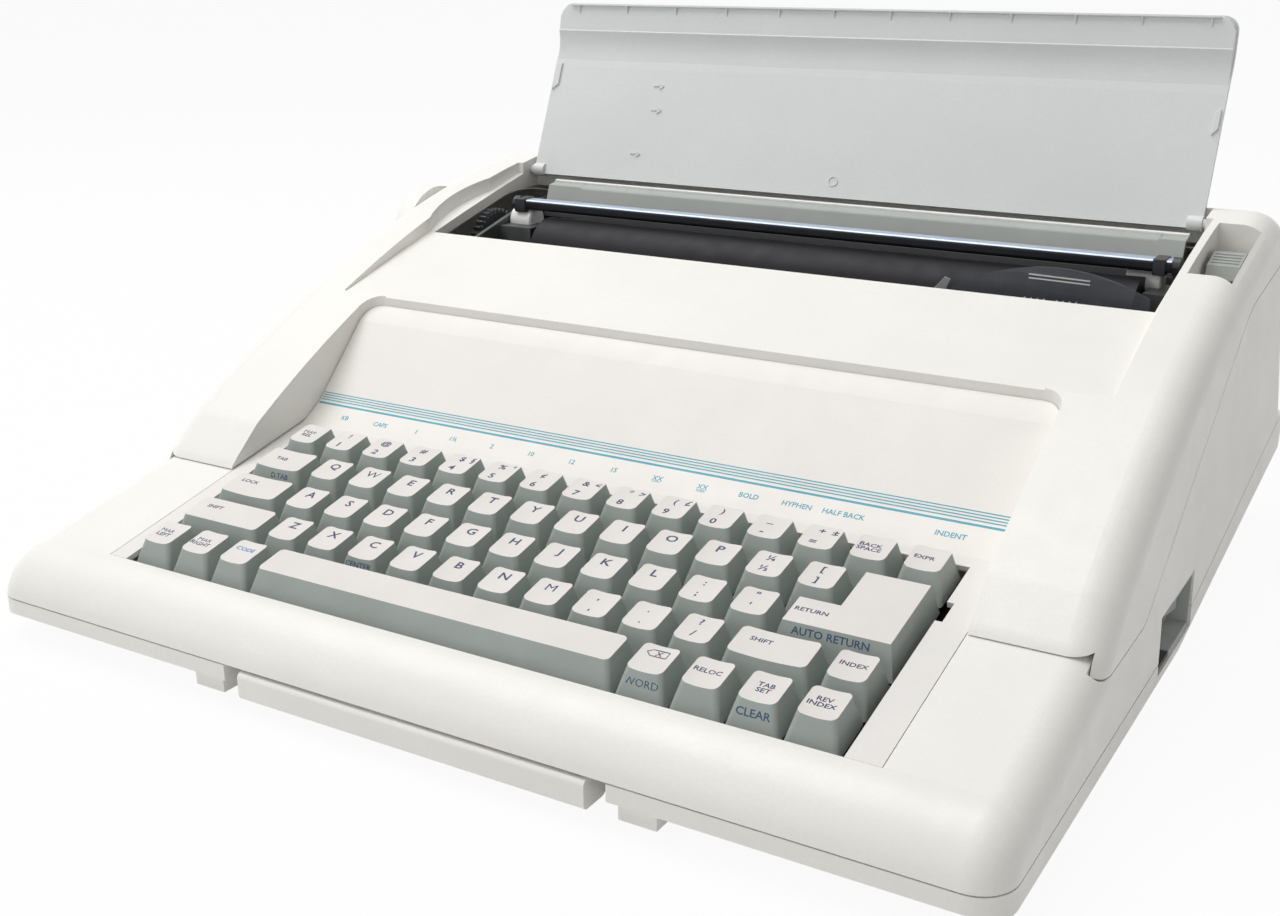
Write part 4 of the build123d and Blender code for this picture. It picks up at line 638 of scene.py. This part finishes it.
shape = bmesh.new()
for column, marks in enumerate(FIGURES, start=1):
    spots = (FIGURE_SPOT, SIGN_SPOT, THIRD_SPOT)
    for mark, tall, (x, s) in zip(marks, (FIGURE_TALL, SIGN_TALL, SIGN_TALL), spots):
        add_word(shape, mark, tall, top_place("number_row_keys", 4, column, 1, x, s))
for column, words in NUMBER_ROW_WORDS:
    for line, word in enumerate(words):
        s = UPPER_LINE - LINE_STEP * line if len(words) > 1 else SINGLE_LINE
        add_word(shape, word, WORD_TALL, top_place("number_row_keys", 4, column, 1, WORD_X, s))
finish_piece("number_row_legends", shape, NAVY, "number_row_keys_body")

# %% Letters and punctuation
# Each row: node, row number, first key's left edge in pitches, capitals, pairs of low and high signs
LETTER_ROWS = (
    ("upper_letter_keys", 3, 1.5, "QWERTYUIOP", (("½", "¼"), ("]", "["))),
    ("home_letter_keys", 2, 1.75, "ASDFGHJKL", ((";", ":"), ("'", '"'))),
    ("lower_letter_keys", 1, 2.25, "ZXCVBNM", ((",", ","), (".", "."), ("/", "?"))),
)
LETTER_TALL = 3.5
LETTER_SPOT = (-0.4, 2.4)
PAIR_SPOTS = ((-0.8, -2.6), (-0.8, 3.4))

for node, row, first, capitals, pairs in LETTER_ROWS:
    shape = bmesh.new()
    for n, capital in enumerate(capitals):
        add_word(shape, capital, LETTER_TALL, top_place(node, row, first + n, 1, *LETTER_SPOT))
    for n, pair in enumerate(pairs, start=len(capitals)):
        for sign, spot in zip(pair, PAIR_SPOTS):
            add_word(shape, sign, SIGN_TALL, top_place(node, row, first + n, 1, *spot))
    finish_piece(node.replace("_keys", "_legends"), shape, NAVY, node + "_body")

# %% [markdown]
# ## Legends of the special keys
# These keys are bodies of their own, so each has its own small piece of print, which goes down
# with its key. The line on some front faces says what the key does with the code key held. It is
# laid on the sloping front in the same way, by a ray that comes from the front.

# %% Special keys
# Each row: node, row number, left edge and width in pitches, first line's x and s, words, ink
WORDS = (
    ("tab_key", 3, 0, 1.5, -3.0, 0.4, ("TAB",), NAVY),
    ("lock_key", 2, 0, 1.75, -5.5, 2.2, ("LOCK",), NAVY),
    ("left_shift_key", 1, 0, 2.25, -9.0, 1.6, ("SHIFT",), NAVY),
    ("right_shift_key", 1, 12.25, 1.75, -5.0, 1.6, ("SHIFT",), NAVY),
    ("index_key", 1, 14, 1, 0.0, 0.6, ("INDEX",), NAVY),
    ("margin_left_key", 0, 0, 1, -1.4, 1.2, ("MAR", "LEFT"), NAVY),
    ("margin_right_key", 0, 1, 1, -1.4, 1.2, ("MAR", "RIGHT"), NAVY),
    ("code_key", 0, 2, 1, -0.6, 1.8, ("CODE",), BLUE),
    ("relocate_key", 0, 12, 1, -0.6, 0.8, ("RELOC",), NAVY),
    ("tab_set_key", 0, 13, 1, -0.2, 1.2, ("TAB", "SET"), NAVY),
    ("reverse_index_key", 0, 14, 1, -0.6, 1.6, ("REV", "INDEX"), NAVY),
    ("return_key", 2, 12.75, 1, 0.6, 0.6, ("RETURN",), NAVY),
)
LINE_DROP = 2.5
for node, row, left, width, x, s, words, colour in WORDS:
    shape = bmesh.new()
    for line, word in enumerate(words):
        add_word(shape, word, WORD_TALL, top_place(node, row, left, width, x, s - LINE_DROP * line))
    finish_piece(node.replace("_key", "_legend"), shape, colour, node + "_body")

# %% Erase sign
ARROW = [(-2.6, -1.5), (3.0, -1.5), (3.0, 1.5), (-2.6, 1.5), (-4.2, 0.0)]
ARROW_LINE = 0.32
CROSS_TALL = 1.9

shape = bmesh.new()
place = top_place("correction_key", 0, 11, 1, 0.4, 2.6)
for start, end in zip(ARROW, ARROW[1:] + ARROW[:1]):
    add_stroke(shape, place, start, end, ARROW_LINE, 0, INK_DEPTH)
add_word(shape, "X", CROSS_TALL, place)
finish_piece("correction_legend", shape, NAVY, "correction_key_body")

# %% Front labels
# Each row: node, row number, left edge and width in pitches, x, share of the height, word, tall
FRONT_LABELS = (
    ("correction_key", 0, 11, 1, 0.0, 0.64, "WORD", 2.3),
    ("tab_set_key", 0, 13, 1, 0.0, 0.64, "CLEAR", 2.3),
    ("return_key", 2, 13.3, 1, 0.0, 0.80, "AUTO RETURN", 2.3),
    ("lower_letter_keys", 1, 4.25, 1, 0.0, 0.74, "CENTER", 1.9),
    ("tab_key", 3, 0, 1.5, 2.6, 0.72, "D.TAB", 1.9),
)
for node, row, left, width, x, share, word, tall in FRONT_LABELS:
    shape = bmesh.new()
    add_word(shape, word, tall, front_place(node, row, left, width, x, share))
    name = node.replace("_keys", "").replace("_key", "") + "_front_label"
    finish_piece(name, shape, SLATE, node + "_body")

# %% [markdown]
# ## The panel's print
# Four thin lines and a broad one cross the panel at its bend. Under them stand the names of the
# settings, one over each column of keys that has one, so the labels share the keys' pitch. Lines
# and words are thin plates on the panel, in one piece, because they share one ink.

# %% Panel stripes
STRIPE_HALF = 151.8
THIN_LINES = (4.1, 3.0, 1.9, 0.8)
THIN = 0.42
BROAD = (-1.5, -0.5)

shape = bmesh.new()
stripes = [(middle - THIN / 2, middle + THIN / 2) for middle in THIN_LINES] + [BROAD]
for stripe in stripes:
    add_plate(shape, panel_point, box_outline((-STRIPE_HALF, STRIPE_HALF), stripe), 0.0, INK_DEPTH)
print("panel stripes:", len(stripes))

# %% Panel labels
SETTINGS = {0: "KB", 1: "CAPS", 2: "1", 3: "1½", 4: "2", 5: "10", 6: "12", 7: "15", 8: "XX", 9: "XX",
            10: "BOLD", 11: "HYPHEN", 12: "HALF BACK", 14: "INDENT"}
LABEL_ALONG = -6.9
LABEL_TALL = 2.1
LABEL_WIDTH = 0.98
LABEL_SHIFT = {12: -1.0}
UNDERLINES = {8: 1, 9: 2}
UNDERLINE_HALF = 1.8
UNDERLINE_LOW = -1.7
UNDERLINE_STEP = 0.6
UNDERLINE_THICK = 0.3


def label_place(middle):
    """A placing function for a label on the panel, round its middle."""
    def place(u, v, lift):
        return panel_point(middle + u, LABEL_ALONG + v, lift)

    return place


for column, word in SETTINGS.items():
    place = label_place(key_middle(column, 1) + LABEL_SHIFT.get(column, 0))
    add_word(shape, word, LABEL_TALL, place, LABEL_WIDTH)
    for n in range(UNDERLINES.get(column, 0)):
        low = UNDERLINE_LOW - UNDERLINE_STEP * n
        span = (low, low + UNDERLINE_THICK)
        add_plate(shape, place, box_outline((-UNDERLINE_HALF, UNDERLINE_HALF), span), 0.0, INK_DEPTH)
finish_piece("panel_print", shape, TEAL, "base")

# %% [markdown]
# ## Lip of the lid
# The lid's top edge is turned over into a lip, with a small step under it and rounded corners. A
# bevel can't make such a lip, so it is lofted through outlines, one for each level of its height,
# and its back stays inside the lid's own wall.

# %% Lid lip
LIP_HALF = 162.3
# Each level of the lip: height, front face, back inside the lid's own wall, half width
LIP_LEVELS = (
    (189.0, 151.35, 151.9, LIP_HALF), (192.0, 152.45, 153.6, LIP_HALF),
    (195.0, 153.25, 154.9, LIP_HALF), (198.0, 153.6, 155.9, LIP_HALF),
    (201.0, 153.5, 156.8, LIP_HALF), (203.2, 153.1, 157.4, LIP_HALF),
    (203.6, 153.5, 157.6, LIP_HALF), (210.0, 154.9, 158.0, LIP_HALF),
    (213.0, 155.5, 158.3, 161.0), (214.8, 155.9, 158.4, 158.8), (215.8, 156.1, 158.5, 156.0),
)

shape = bmesh.new()
rings = []
for z, front, back, half in LIP_LEVELS:
    outline = box_outline((-half, half), (front, back))
    rings.append([Vector((x, y, z)) * MM for x, y in outline])
add_loft(shape, rings)
finish_piece("lid_lip", shape, FINISH["lid_plastic"], "lid", soften=0.2)

# %% [markdown]
# ## Ribs, catches and marks of the lid
# Inside the lid a mould leaves stiffening ribs along the lip, a rim at its top edge, catches at
# both sides, small direction marks and the ring of an ejector pin. All are low plates that start
# a little inside the wall, so that no gap shows under them.

# %% Lid ribs
RIB_COUNT = 12
RIB_FIRST = -151.0
RIB_PITCH = 27.6
RIB_START = 0.6
RIB_DEPTH = 5.8
RIB_HEIGHT = 1.5
RIB_WIDTH = 0.8
RIB_SUNK = 0.4
RIM_HALF = 156.0
RIM_SPAN = (0.15, 0.9)
SUNK = 0.5
STEP_LEVEL = 6


def level_front(level):
    """The front edge of one level of the lip, in the middle of the lid."""
    z, front, _, _ = LIP_LEVELS[level]
    return Vector((0, front, z))


LIP_FOOT = level_front(STEP_LEVEL)
LIP_HEAD = level_front(-1)


def lip_point(x, along, lift):
    """A point on the lip's face, measured down from its top edge."""
    return on_slope(LIP_HEAD, LIP_HEAD * 2 - LIP_FOOT, x, -along, lift)


shape = bmesh.new()
for n in range(RIB_COUNT):
    x = RIB_FIRST + n * RIB_PITCH
    add_loft(shape, [
        [lip_point(side, RIB_START, -RIB_SUNK), lip_point(side, RIB_DEPTH, -RIB_SUNK),
         lip_point(side, RIB_START, RIB_HEIGHT)]
        for side in (x - RIB_WIDTH / 2, x + RIB_WIDTH / 2)
    ])
add_plate(shape, lip_point, box_outline((-RIM_HALF, RIM_HALF), RIM_SPAN), -SUNK, RIB_HEIGHT)
finish_piece("lid_ribs", shape, FINISH["lid_plastic"], "lid", soften=0.15)

# %% Lid catches
CATCH_HEIGHT = 0.9
CATCH_FOOT_SLOPE = 3
CATCH_HEAD_SLOPE = 1
# Each catch: its two sides, its foot and its head
CATCHES = ((-161.8, -158.4, 43, 57), (159.4, 161.8, 38, 49))

shape = bmesh.new()
for x0, x1, foot, head in CATCHES:
    outline = [(x0, foot), (x1, foot + CATCH_FOOT_SLOPE), (x1, head), (x0, head - CATCH_HEAD_SLOPE)]
    add_plate(shape, lid_point, outline, -SUNK, CATCH_HEIGHT)
finish_piece("lid_catches", shape, FINISH["lid_plastic"], "lid", soften=0.3)

# %% Lid marks
MARKS = ((-100.6, 47.5), (-99.5, 35.5), (-106.4, 13.5))
MARK_STROKES = (((3.0, 0.0), (0.8, 1.5)), ((3.0, 0.0), (0.8, -1.5)), ((0.4, 0.0), (-2.6, 0.0)))
MARK_LINE = 0.5
MARK_SUNK = 0.2
MARK_HEIGHT = 0.5
RING_PLACE = (0.0, 7.5)
RING_INNER = 1.9
RING_OUTER = 2.3
RING_HEIGHT = 0.35
MERGE_DISTANCE = 1e-7


def ring_points(x, y, radius, count=32):
    """Points round a circle."""
    turns = [2 * pi * i / count for i in range(count)]
    return [(x + radius * cos(turn), y + radius * sin(turn)) for turn in turns]


shape = bmesh.new()
for x, along in MARKS:
    for tip, tail in MARK_STROKES:
        tip_place = (x + tip[0], along + tip[1])
        tail_place = (x + tail[0], along + tail[1])
        add_stroke(shape, lid_point, tail_place, tip_place, MARK_LINE, -MARK_SUNK, MARK_HEIGHT)
outer = ring_points(*RING_PLACE, RING_OUTER)
inner = ring_points(*RING_PLACE, RING_INNER)
for i in range(len(outer)):
    j = (i + 1) % len(outer)
    part = [outer[i], outer[j], inner[j], inner[i]]
    add_plate(shape, lid_point, part, -MARK_SUNK, RING_HEIGHT)
bmesh.ops.remove_doubles(shape, verts=shape.verts, dist=MERGE_DISTANCE)
finish_piece("lid_marks", shape, FINISH["lid_plastic"], "lid")

# %% [markdown]
# ## Sleeves and clips beside the platen
# White nylon sleeves sit on the bearing blocks beside the platen, and dark clips hold the ends of
# the paper bail. A sleeve is turned: rings round one axis, smaller at both ends for its chamfer.
# The clips ride with the bail, so that they lift with it.

# %% Bearing sleeves
# Each sleeve: its two ends, the y and z of its axis, its radius
SLEEVES = ((-152.5, -140.5, 98.0, 117.2, 6.4), (142.0, 156.0, 100.0, 117.6, 4.6))
SLEEVE_SIDES = 40
CHAMFER_LONG = 0.6
CHAMFER_DEEP = 0.8


def add_turned(shape, profile, y, z, sides=SLEEVE_SIDES):
    """A turned piece on an axis along X, from (x, radius) points, closed at both ends."""
    add_loft(shape, [
        [Vector((x, py, pz)) * MM for py, pz in ring_points(y, z, radius, sides)]
        for x, radius in profile
    ])


shape = bmesh.new()
for x0, x1, y, z, radius in SLEEVES:
    profile = [(x0, radius - CHAMFER_DEEP), (x0 + CHAMFER_LONG, radius),
               (x1 - CHAMFER_LONG, radius), (x1, radius - CHAMFER_DEEP)]
    add_turned(shape, profile, y, z)
SLEEVE_WHITE = moulded("sleeve nylon", paint(246, 246, 244), 0.35, cloud=0.02, grain=0.6)
finish_piece("bearing_sleeves", shape, SLEEVE_WHITE, "base")

# %% Bail clips
BAIL_Y = 96.0
BAIL_Z = 125.4
CLIP_SPANS = ((-149.0, -143.0), (153.0, 158.0))
CLIP_HALF = 4.6
CLIP_LOW = -3.6
CLIP_HIGH = 3.0


def bail_point(x, v, lift):
    """A point beside the bail's axis: rearward and up from it."""
    return Vector((x, BAIL_Y + v, BAIL_Z + lift)) * MM


shape = bmesh.new()
for span in CLIP_SPANS:
    add_plate(shape, bail_point, box_outline(span, (-CLIP_HALF, CLIP_HALF)), CLIP_LOW, CLIP_HIGH)
finish_piece("bail_clips", shape, FINISH["dark_plastic"], "bail", soften=0.5)

# %% [markdown]
# ## Ends of the paper chute and a painted highlight on its edge
# In the photo the chute is wider than the platen: its curved ends reach to the bail's arms, and a
# pale strip along its top edge is a painted highlight, where the edge catches the light. Both are
# bars with one profile all along, so they are drawn
# out between two ends. The ends are measured on the frame: the wings lap the platen's ends and
# leave a gap at the arms, which swing past them.

# %% Chute wings and painted highlight strip
ARM_GAP = 1.0
CHUTE_LAP = 1.5
# Profiles of (y, z) points: the wing follows the chute's curve, the highlight strip caps its top edge
CHUTE_WING = ((125.0, 132.4), (118.5, 131.3), (112.9, 117.0), (114.1, 116.6), (119.4, 130.2),
              (125.0, 131.2))
CHUTE_HIGHLIGHT_STRIP = ((125.6, 131.4), (123.6, 132.2), (123.6, 133.0), (125.6, 133.3))


def places_across(node):
    """Where the points of a node lie across the machine, in mm."""
    return [v.co.x / MM for v in NODES[node].data.vertices]


def add_bar(shape, profile, x0, x1):
    """A bar along X from a profile of (y, z) points."""
    add_loft(shape, [[Vector((x, y, z)) * MM for y, z in profile] for x in (x0, x1)])


arm_places = places_across("bail_arms")
platen_places = places_across("platen_roller")
wing_left = max(x for x in arm_places if x < 0) + ARM_GAP
wing_right = min(x for x in arm_places if x > 0) - ARM_GAP

shape = bmesh.new()
add_bar(shape, CHUTE_WING, wing_left, min(platen_places) + CHUTE_LAP)
add_bar(shape, CHUTE_WING, max(platen_places) - CHUTE_LAP, wing_right)
finish_piece("chute_wings", shape, chute_grey_with_painted_shade, "base")
# A white strip on the chute's top edge: a painted highlight along that edge.
shape = bmesh.new()
add_bar(shape, CHUTE_HIGHLIGHT_STRIP, wing_left, wing_right)
finish_piece("chute_highlight_strip", shape, FINISH["white_plastic"], "base", soften=0.1)
print("chute reaches from", round(wing_left, 1), "to", round(wing_right, 1), "mm")

# %% [markdown]
# ## Card holder
# A clear card in front of the platen holds the paper flat and lets the typist see the line. It
# has a low shoulder at the left, one long arch that leans a little, and a window for the type.
# Its upper edge is a formula, so the card is built from narrow upright strips, joined afterwards.
# It takes the place of the frame's plain card, on the same carriage.

# %% Card holder
CARD_LEFT = 66.0
ARCH_LEFT = 76.7
ARCH_RIGHT = 158.0
ARCH_SPRING = 111.5
ARCH_SLOPE = 0.0627
ARCH_RISE = 11.0
ARCH_STEPS = 36
SHOULDER_SLOPE = 0.8
CARD_LOW = 96.0
CARD_Y = 72.1
CARD_THICK = 0.8
WINDOW_X = 103.0
WINDOW_HALF = 17.0
WINDOW_LOW = 100.0
WINDOW_HIGH = 110.0


def card_point(x, z, lift):
    """A point on the card's upright face, lift towards the typist."""
    return Vector((x, CARD_Y - lift, z)) * MM


def arch_height(x):
    """The upper edge: a low shoulder at the left, then one long arch that leans a little."""
    if x < ARCH_LEFT:
        return ARCH_SPRING - (ARCH_LEFT - x) * SHOULDER_SLOPE
    share = 2 * (x - ARCH_LEFT) / (ARCH_RIGHT - ARCH_LEFT) - 1
    return ARCH_SPRING + (x - ARCH_LEFT) * ARCH_SLOPE + ARCH_RISE * (1 - share * share)


shape = bmesh.new()
edge = [CARD_LEFT + (ARCH_RIGHT - CARD_LEFT) * i / ARCH_STEPS for i in range(ARCH_STEPS + 1)]
for a, b in zip(edge, edge[1:]):
    spans = [(CARD_LOW, arch_height(a), arch_height(b))]
    if WINDOW_X - WINDOW_HALF <= (a + b) / 2 <= WINDOW_X + WINDOW_HALF:
        spans = [(CARD_LOW, WINDOW_LOW, WINDOW_LOW), (WINDOW_HIGH, arch_height(a), arch_height(b))]
    for low, high_a, high_b in spans:
        strip = [(a, low), (b, low), (b, high_b), (a, high_a)]
        add_plate(shape, card_point, strip, 0, CARD_THICK)
print("card is", round(max(arch_height(x) for x in edge) - CARD_LOW, 1), "mm high")

# %% Feet of the card holder
FOOT_OFFSET = 34.0
FOOT_HALF = 3
POST_SPAN = (95.0, 112.0)
POST_FRONT = 61.0
POST_BACK = 66.0
ARM_SPAN = (108.5, 112.0)
ARM_FRONT = 65.5


def upright_point(x, z, y):
    """A point by its places across, up and to the rear."""
    return Vector((x, y, z)) * MM


for side in (-1, 1):
    middle = WINDOW_X + side * FOOT_OFFSET
    across = (middle - FOOT_HALF, middle + FOOT_HALF)
    add_plate(shape, upright_point, box_outline(across, POST_SPAN), POST_FRONT, POST_BACK)
    add_plate(shape, upright_point, box_outline(across, ARM_SPAN), ARM_FRONT, CARD_Y - CARD_THICK)
bmesh.ops.remove_doubles(shape, verts=shape.verts, dist=MERGE_DISTANCE)
card = finish_piece("clear_card", shape, FINISH["clear_plastic"], "carriage")
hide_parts("card_holder")

# %% [markdown]
# ## Lines and pointer of the card
# Two white lines on the card are painted highlights, where its clear face catches the light, and a
# row of ticks is printed on it to line up the type by; a grey pointer is moulded at its left
# shoulder. All ride on the carriage with the card. The ticks are a tenth of an inch apart, and the
# middle one is left out.

# %% Painted highlight lines and printed ticks
HIGHLIGHT_LINE_X = (111.0, 135.0)
HIGHLIGHT_LINE_Z = ((121.5, 121.0), (120.0, 119.6))
HIGHLIGHT_LINE_WIDE = 0.55
INK_AND_HIGHLIGHT_DEPTH = 0.05
TICK_FIRST = 110.0
TICK_PITCH = 2.54
TICK_COUNT = 9
TICK_LEFT_OUT = 4
TICK_HALF = 0.25
TICK_SPAN = (110.8, 112.6)

shape = bmesh.new()
# Two white lines across the card: painted highlights, where its clear face catches the light.
for z0, z1 in HIGHLIGHT_LINE_Z:
    outline = [(HIGHLIGHT_LINE_X[0], z0), (HIGHLIGHT_LINE_X[1], z1), (HIGHLIGHT_LINE_X[1], z1 + HIGHLIGHT_LINE_WIDE),
               (HIGHLIGHT_LINE_X[0], z0 + HIGHLIGHT_LINE_WIDE)]
    add_plate(shape, card_point, outline, CARD_THICK, CARD_THICK + INK_AND_HIGHLIGHT_DEPTH)
for n in range(TICK_COUNT):
    if n != TICK_LEFT_OUT:
        x = TICK_FIRST + n * TICK_PITCH
        tick = box_outline((x - TICK_HALF, x + TICK_HALF), TICK_SPAN)
        add_plate(shape, card_point, tick, CARD_THICK, CARD_THICK + INK_AND_HIGHLIGHT_DEPTH)
finish_piece("card_lines", shape, WHITE_INK_AND_HIGHLIGHT, "carriage")

# %% Card pointer
POINTER = [(69.0, 108.0), (76.0, 108.0), (79.5, 116.5), (77.0, 117.2)]
POINTER_THICK = 0.6

shape = bmesh.new()
add_plate(shape, card_point, POINTER, CARD_THICK, CARD_THICK + POINTER_THICK)
finish_piece("card_pointer", shape, FINISH["grey_plastic"], "carriage", soften=0.15)

# %% [markdown]
# ## Release lever grip
# The lever's thumb pad has four low ridges, so that a finger doesn't slip. A bump in the material
# could fake them, but their ends show against the light, so they are solid.

# %% Lever ridges
PAD_START = Vector((0, 92.0, 128.0))
PAD_END = Vector((0, 104.0, 131.0))
PAD_X = 179.0
RIDGE_COUNT = 4
RIDGE_FIRST = 2.2
RIDGE_PITCH = 2.6
RIDGE_WIDE = 0.8
RIDGE_HALF = 5.2
RIDGE_SUNK = 0.3
RIDGE_HEIGHT = 0.45


def pad_point(x, along, lift):
    """A point on the lever's pad, measured from its front edge."""
    return on_slope(PAD_START, PAD_END, PAD_X + x, along, lift)


shape = bmesh.new()
for n in range(RIDGE_COUNT):
    along = RIDGE_FIRST + n * RIDGE_PITCH
    ridge = box_outline((-RIDGE_HALF, RIDGE_HALF), (along, along + RIDGE_WIDE))
    add_plate(shape, pad_point, ridge, -RIDGE_SUNK, RIDGE_HEIGHT)
finish_piece("lever_ridges", shape, FINISH["grey_plastic"], "release", soften=0.2)

# %% [markdown]
# ## Room and floor
# The machine stands on white paper. If room and floor were simply bright, their light would wash
# out the grey sides. So both differ by who looks at them. For rays that come from the camera, or
# from a gloss, the room and most of the floor read as white paper. For all other rays the room is
# dim and the floor is matt, and a soft shadow is left.


# %% Room
def seen_directly(tree):
    """One where the camera, a gloss or clear plastic looks straight at it, otherwise zero."""
    path = tree.nodes.new("ShaderNodeLightPath")
    total = path.outputs["Is Camera Ray"]
    for name in ("Is Glossy Ray", "Is Transmission Ray"):
        larger = tree.nodes.new("ShaderNodeMath")
        larger.operation = "MAXIMUM"
        tree.links.new(total, larger.inputs[0])
        tree.links.new(path.outputs[name], larger.inputs[1])
        total = larger.outputs[0]
    return total


ROOM_LEVEL = 0.36
PAPER_LEVEL = 1.0
PURE_WHITE = (1.0, 1.0, 1.0, 1)


def white_light(tree, level):
    """An even white background at one level."""
    light = tree.nodes.new("ShaderNodeBackground")
    light.inputs["Color"].default_value = PURE_WHITE
    light.inputs["Strength"].default_value = level
    return light.outputs[0]


world = bpy.data.worlds.new("studio room")
bpy.context.scene.world = world
world.use_nodes = True
room = world.node_tree
room.nodes.clear()
mix = room.nodes.new("ShaderNodeMixShader")
output = room.nodes.new("ShaderNodeOutputWorld")
room.links.new(seen_directly(room), mix.inputs["Fac"])
room.links.new(white_light(room, ROOM_LEVEL), mix.inputs[1])
room.links.new(white_light(room, PAPER_LEVEL), mix.inputs[2])
room.links.new(mix.outputs[0], output.inputs["Surface"])
print("room level:", ROOM_LEVEL)

# %% Floor
FLOOR_HALF = 9.0
FLOOR_DROP = 0.0002
FLOOR_ROUGHNESS = 0.9
PAPER_SHARE = 0.93


def floor_paper():
    """Matt white paper that reads almost white, with the shadow left in it."""
    material, shader, where = shader_of("floor paper")
    tree = material.node_tree
    drift = noise(material, where, 90)
    tone = blend_colours(material, drift, paint(240, 240, 240), paint(232, 232, 232))
    tree.links.new(tone, shader.inputs["Base Color"])
    shader.inputs["Roughness"].default_value = FLOOR_ROUGHNESS
    glow = tree.nodes.new("ShaderNodeEmission")
    glow.inputs["Strength"].default_value = PAPER_LEVEL
    share = tree.nodes.new("ShaderNodeMath")
    share.operation = "MULTIPLY"
    share.inputs[1].default_value = PAPER_SHARE
    tree.links.new(seen_directly(tree), share.inputs[0])
    mix = tree.nodes.new("ShaderNodeMixShader")
    tree.links.new(share.outputs[0], mix.inputs["Fac"])
    tree.links.new(shader.outputs[0], mix.inputs[1])
    tree.links.new(glow.outputs[0], mix.inputs[2])
    output = next(n for n in tree.nodes if n.type == "OUTPUT_MATERIAL")
    tree.links.new(mix.outputs[0], output.inputs["Surface"])
    return material


floor_mesh = bpy.data.meshes.new("studio_floor")
corners = box_outline((-FLOOR_HALF, FLOOR_HALF), (-FLOOR_HALF, FLOOR_HALF))
floor_mesh.from_pydata([(x, y, -FLOOR_DROP) for x, y in corners], [], [(0, 1, 2, 3)])
floor_mesh.materials.append(floor_paper())
floor = bpy.data.objects.new("studio_floor", floor_mesh)
bpy.context.scene.collection.objects.link(floor)
print("floor is", 2 * FLOOR_HALF, "m wide")

# %% [markdown]
# ## Lamps
# A broad lamp above and to the left gives the bright tops and the calm grey sides, as a studio's
# soft box does. A weaker one at the front left keeps the key skirts from going dark. Large square
# lamps are chosen over points, because only a large lamp gives soft shadow edges.


# %% Lamps
def soft_lamp(name, place, aim, size, power):
    """A square lamp of size metres that looks at a point."""
    data = bpy.data.lights.new(name, "AREA")
    data.shape = "SQUARE"
    data.size = size
    data.energy = power
    lamp = bpy.data.objects.new(name, data)
    bpy.context.scene.collection.objects.link(lamp)
    lamp.location = place
    lamp.rotation_euler = (Vector(aim) - Vector(place)).to_track_quat("-Z", "Y").to_euler()
    print(name, "of", power, "watts")


soft_lamp("top_lamp", place=(-0.7, -0.1, 1.9), aim=(0, 0, 0), size=1.6, power=31)
soft_lamp("front_lamp", place=(-1.2, -1.9, 1.0), aim=(0, 0, 0.05), size=1.4, power=7)
bpy.context.scene.view_settings.view_transform = "Standard"
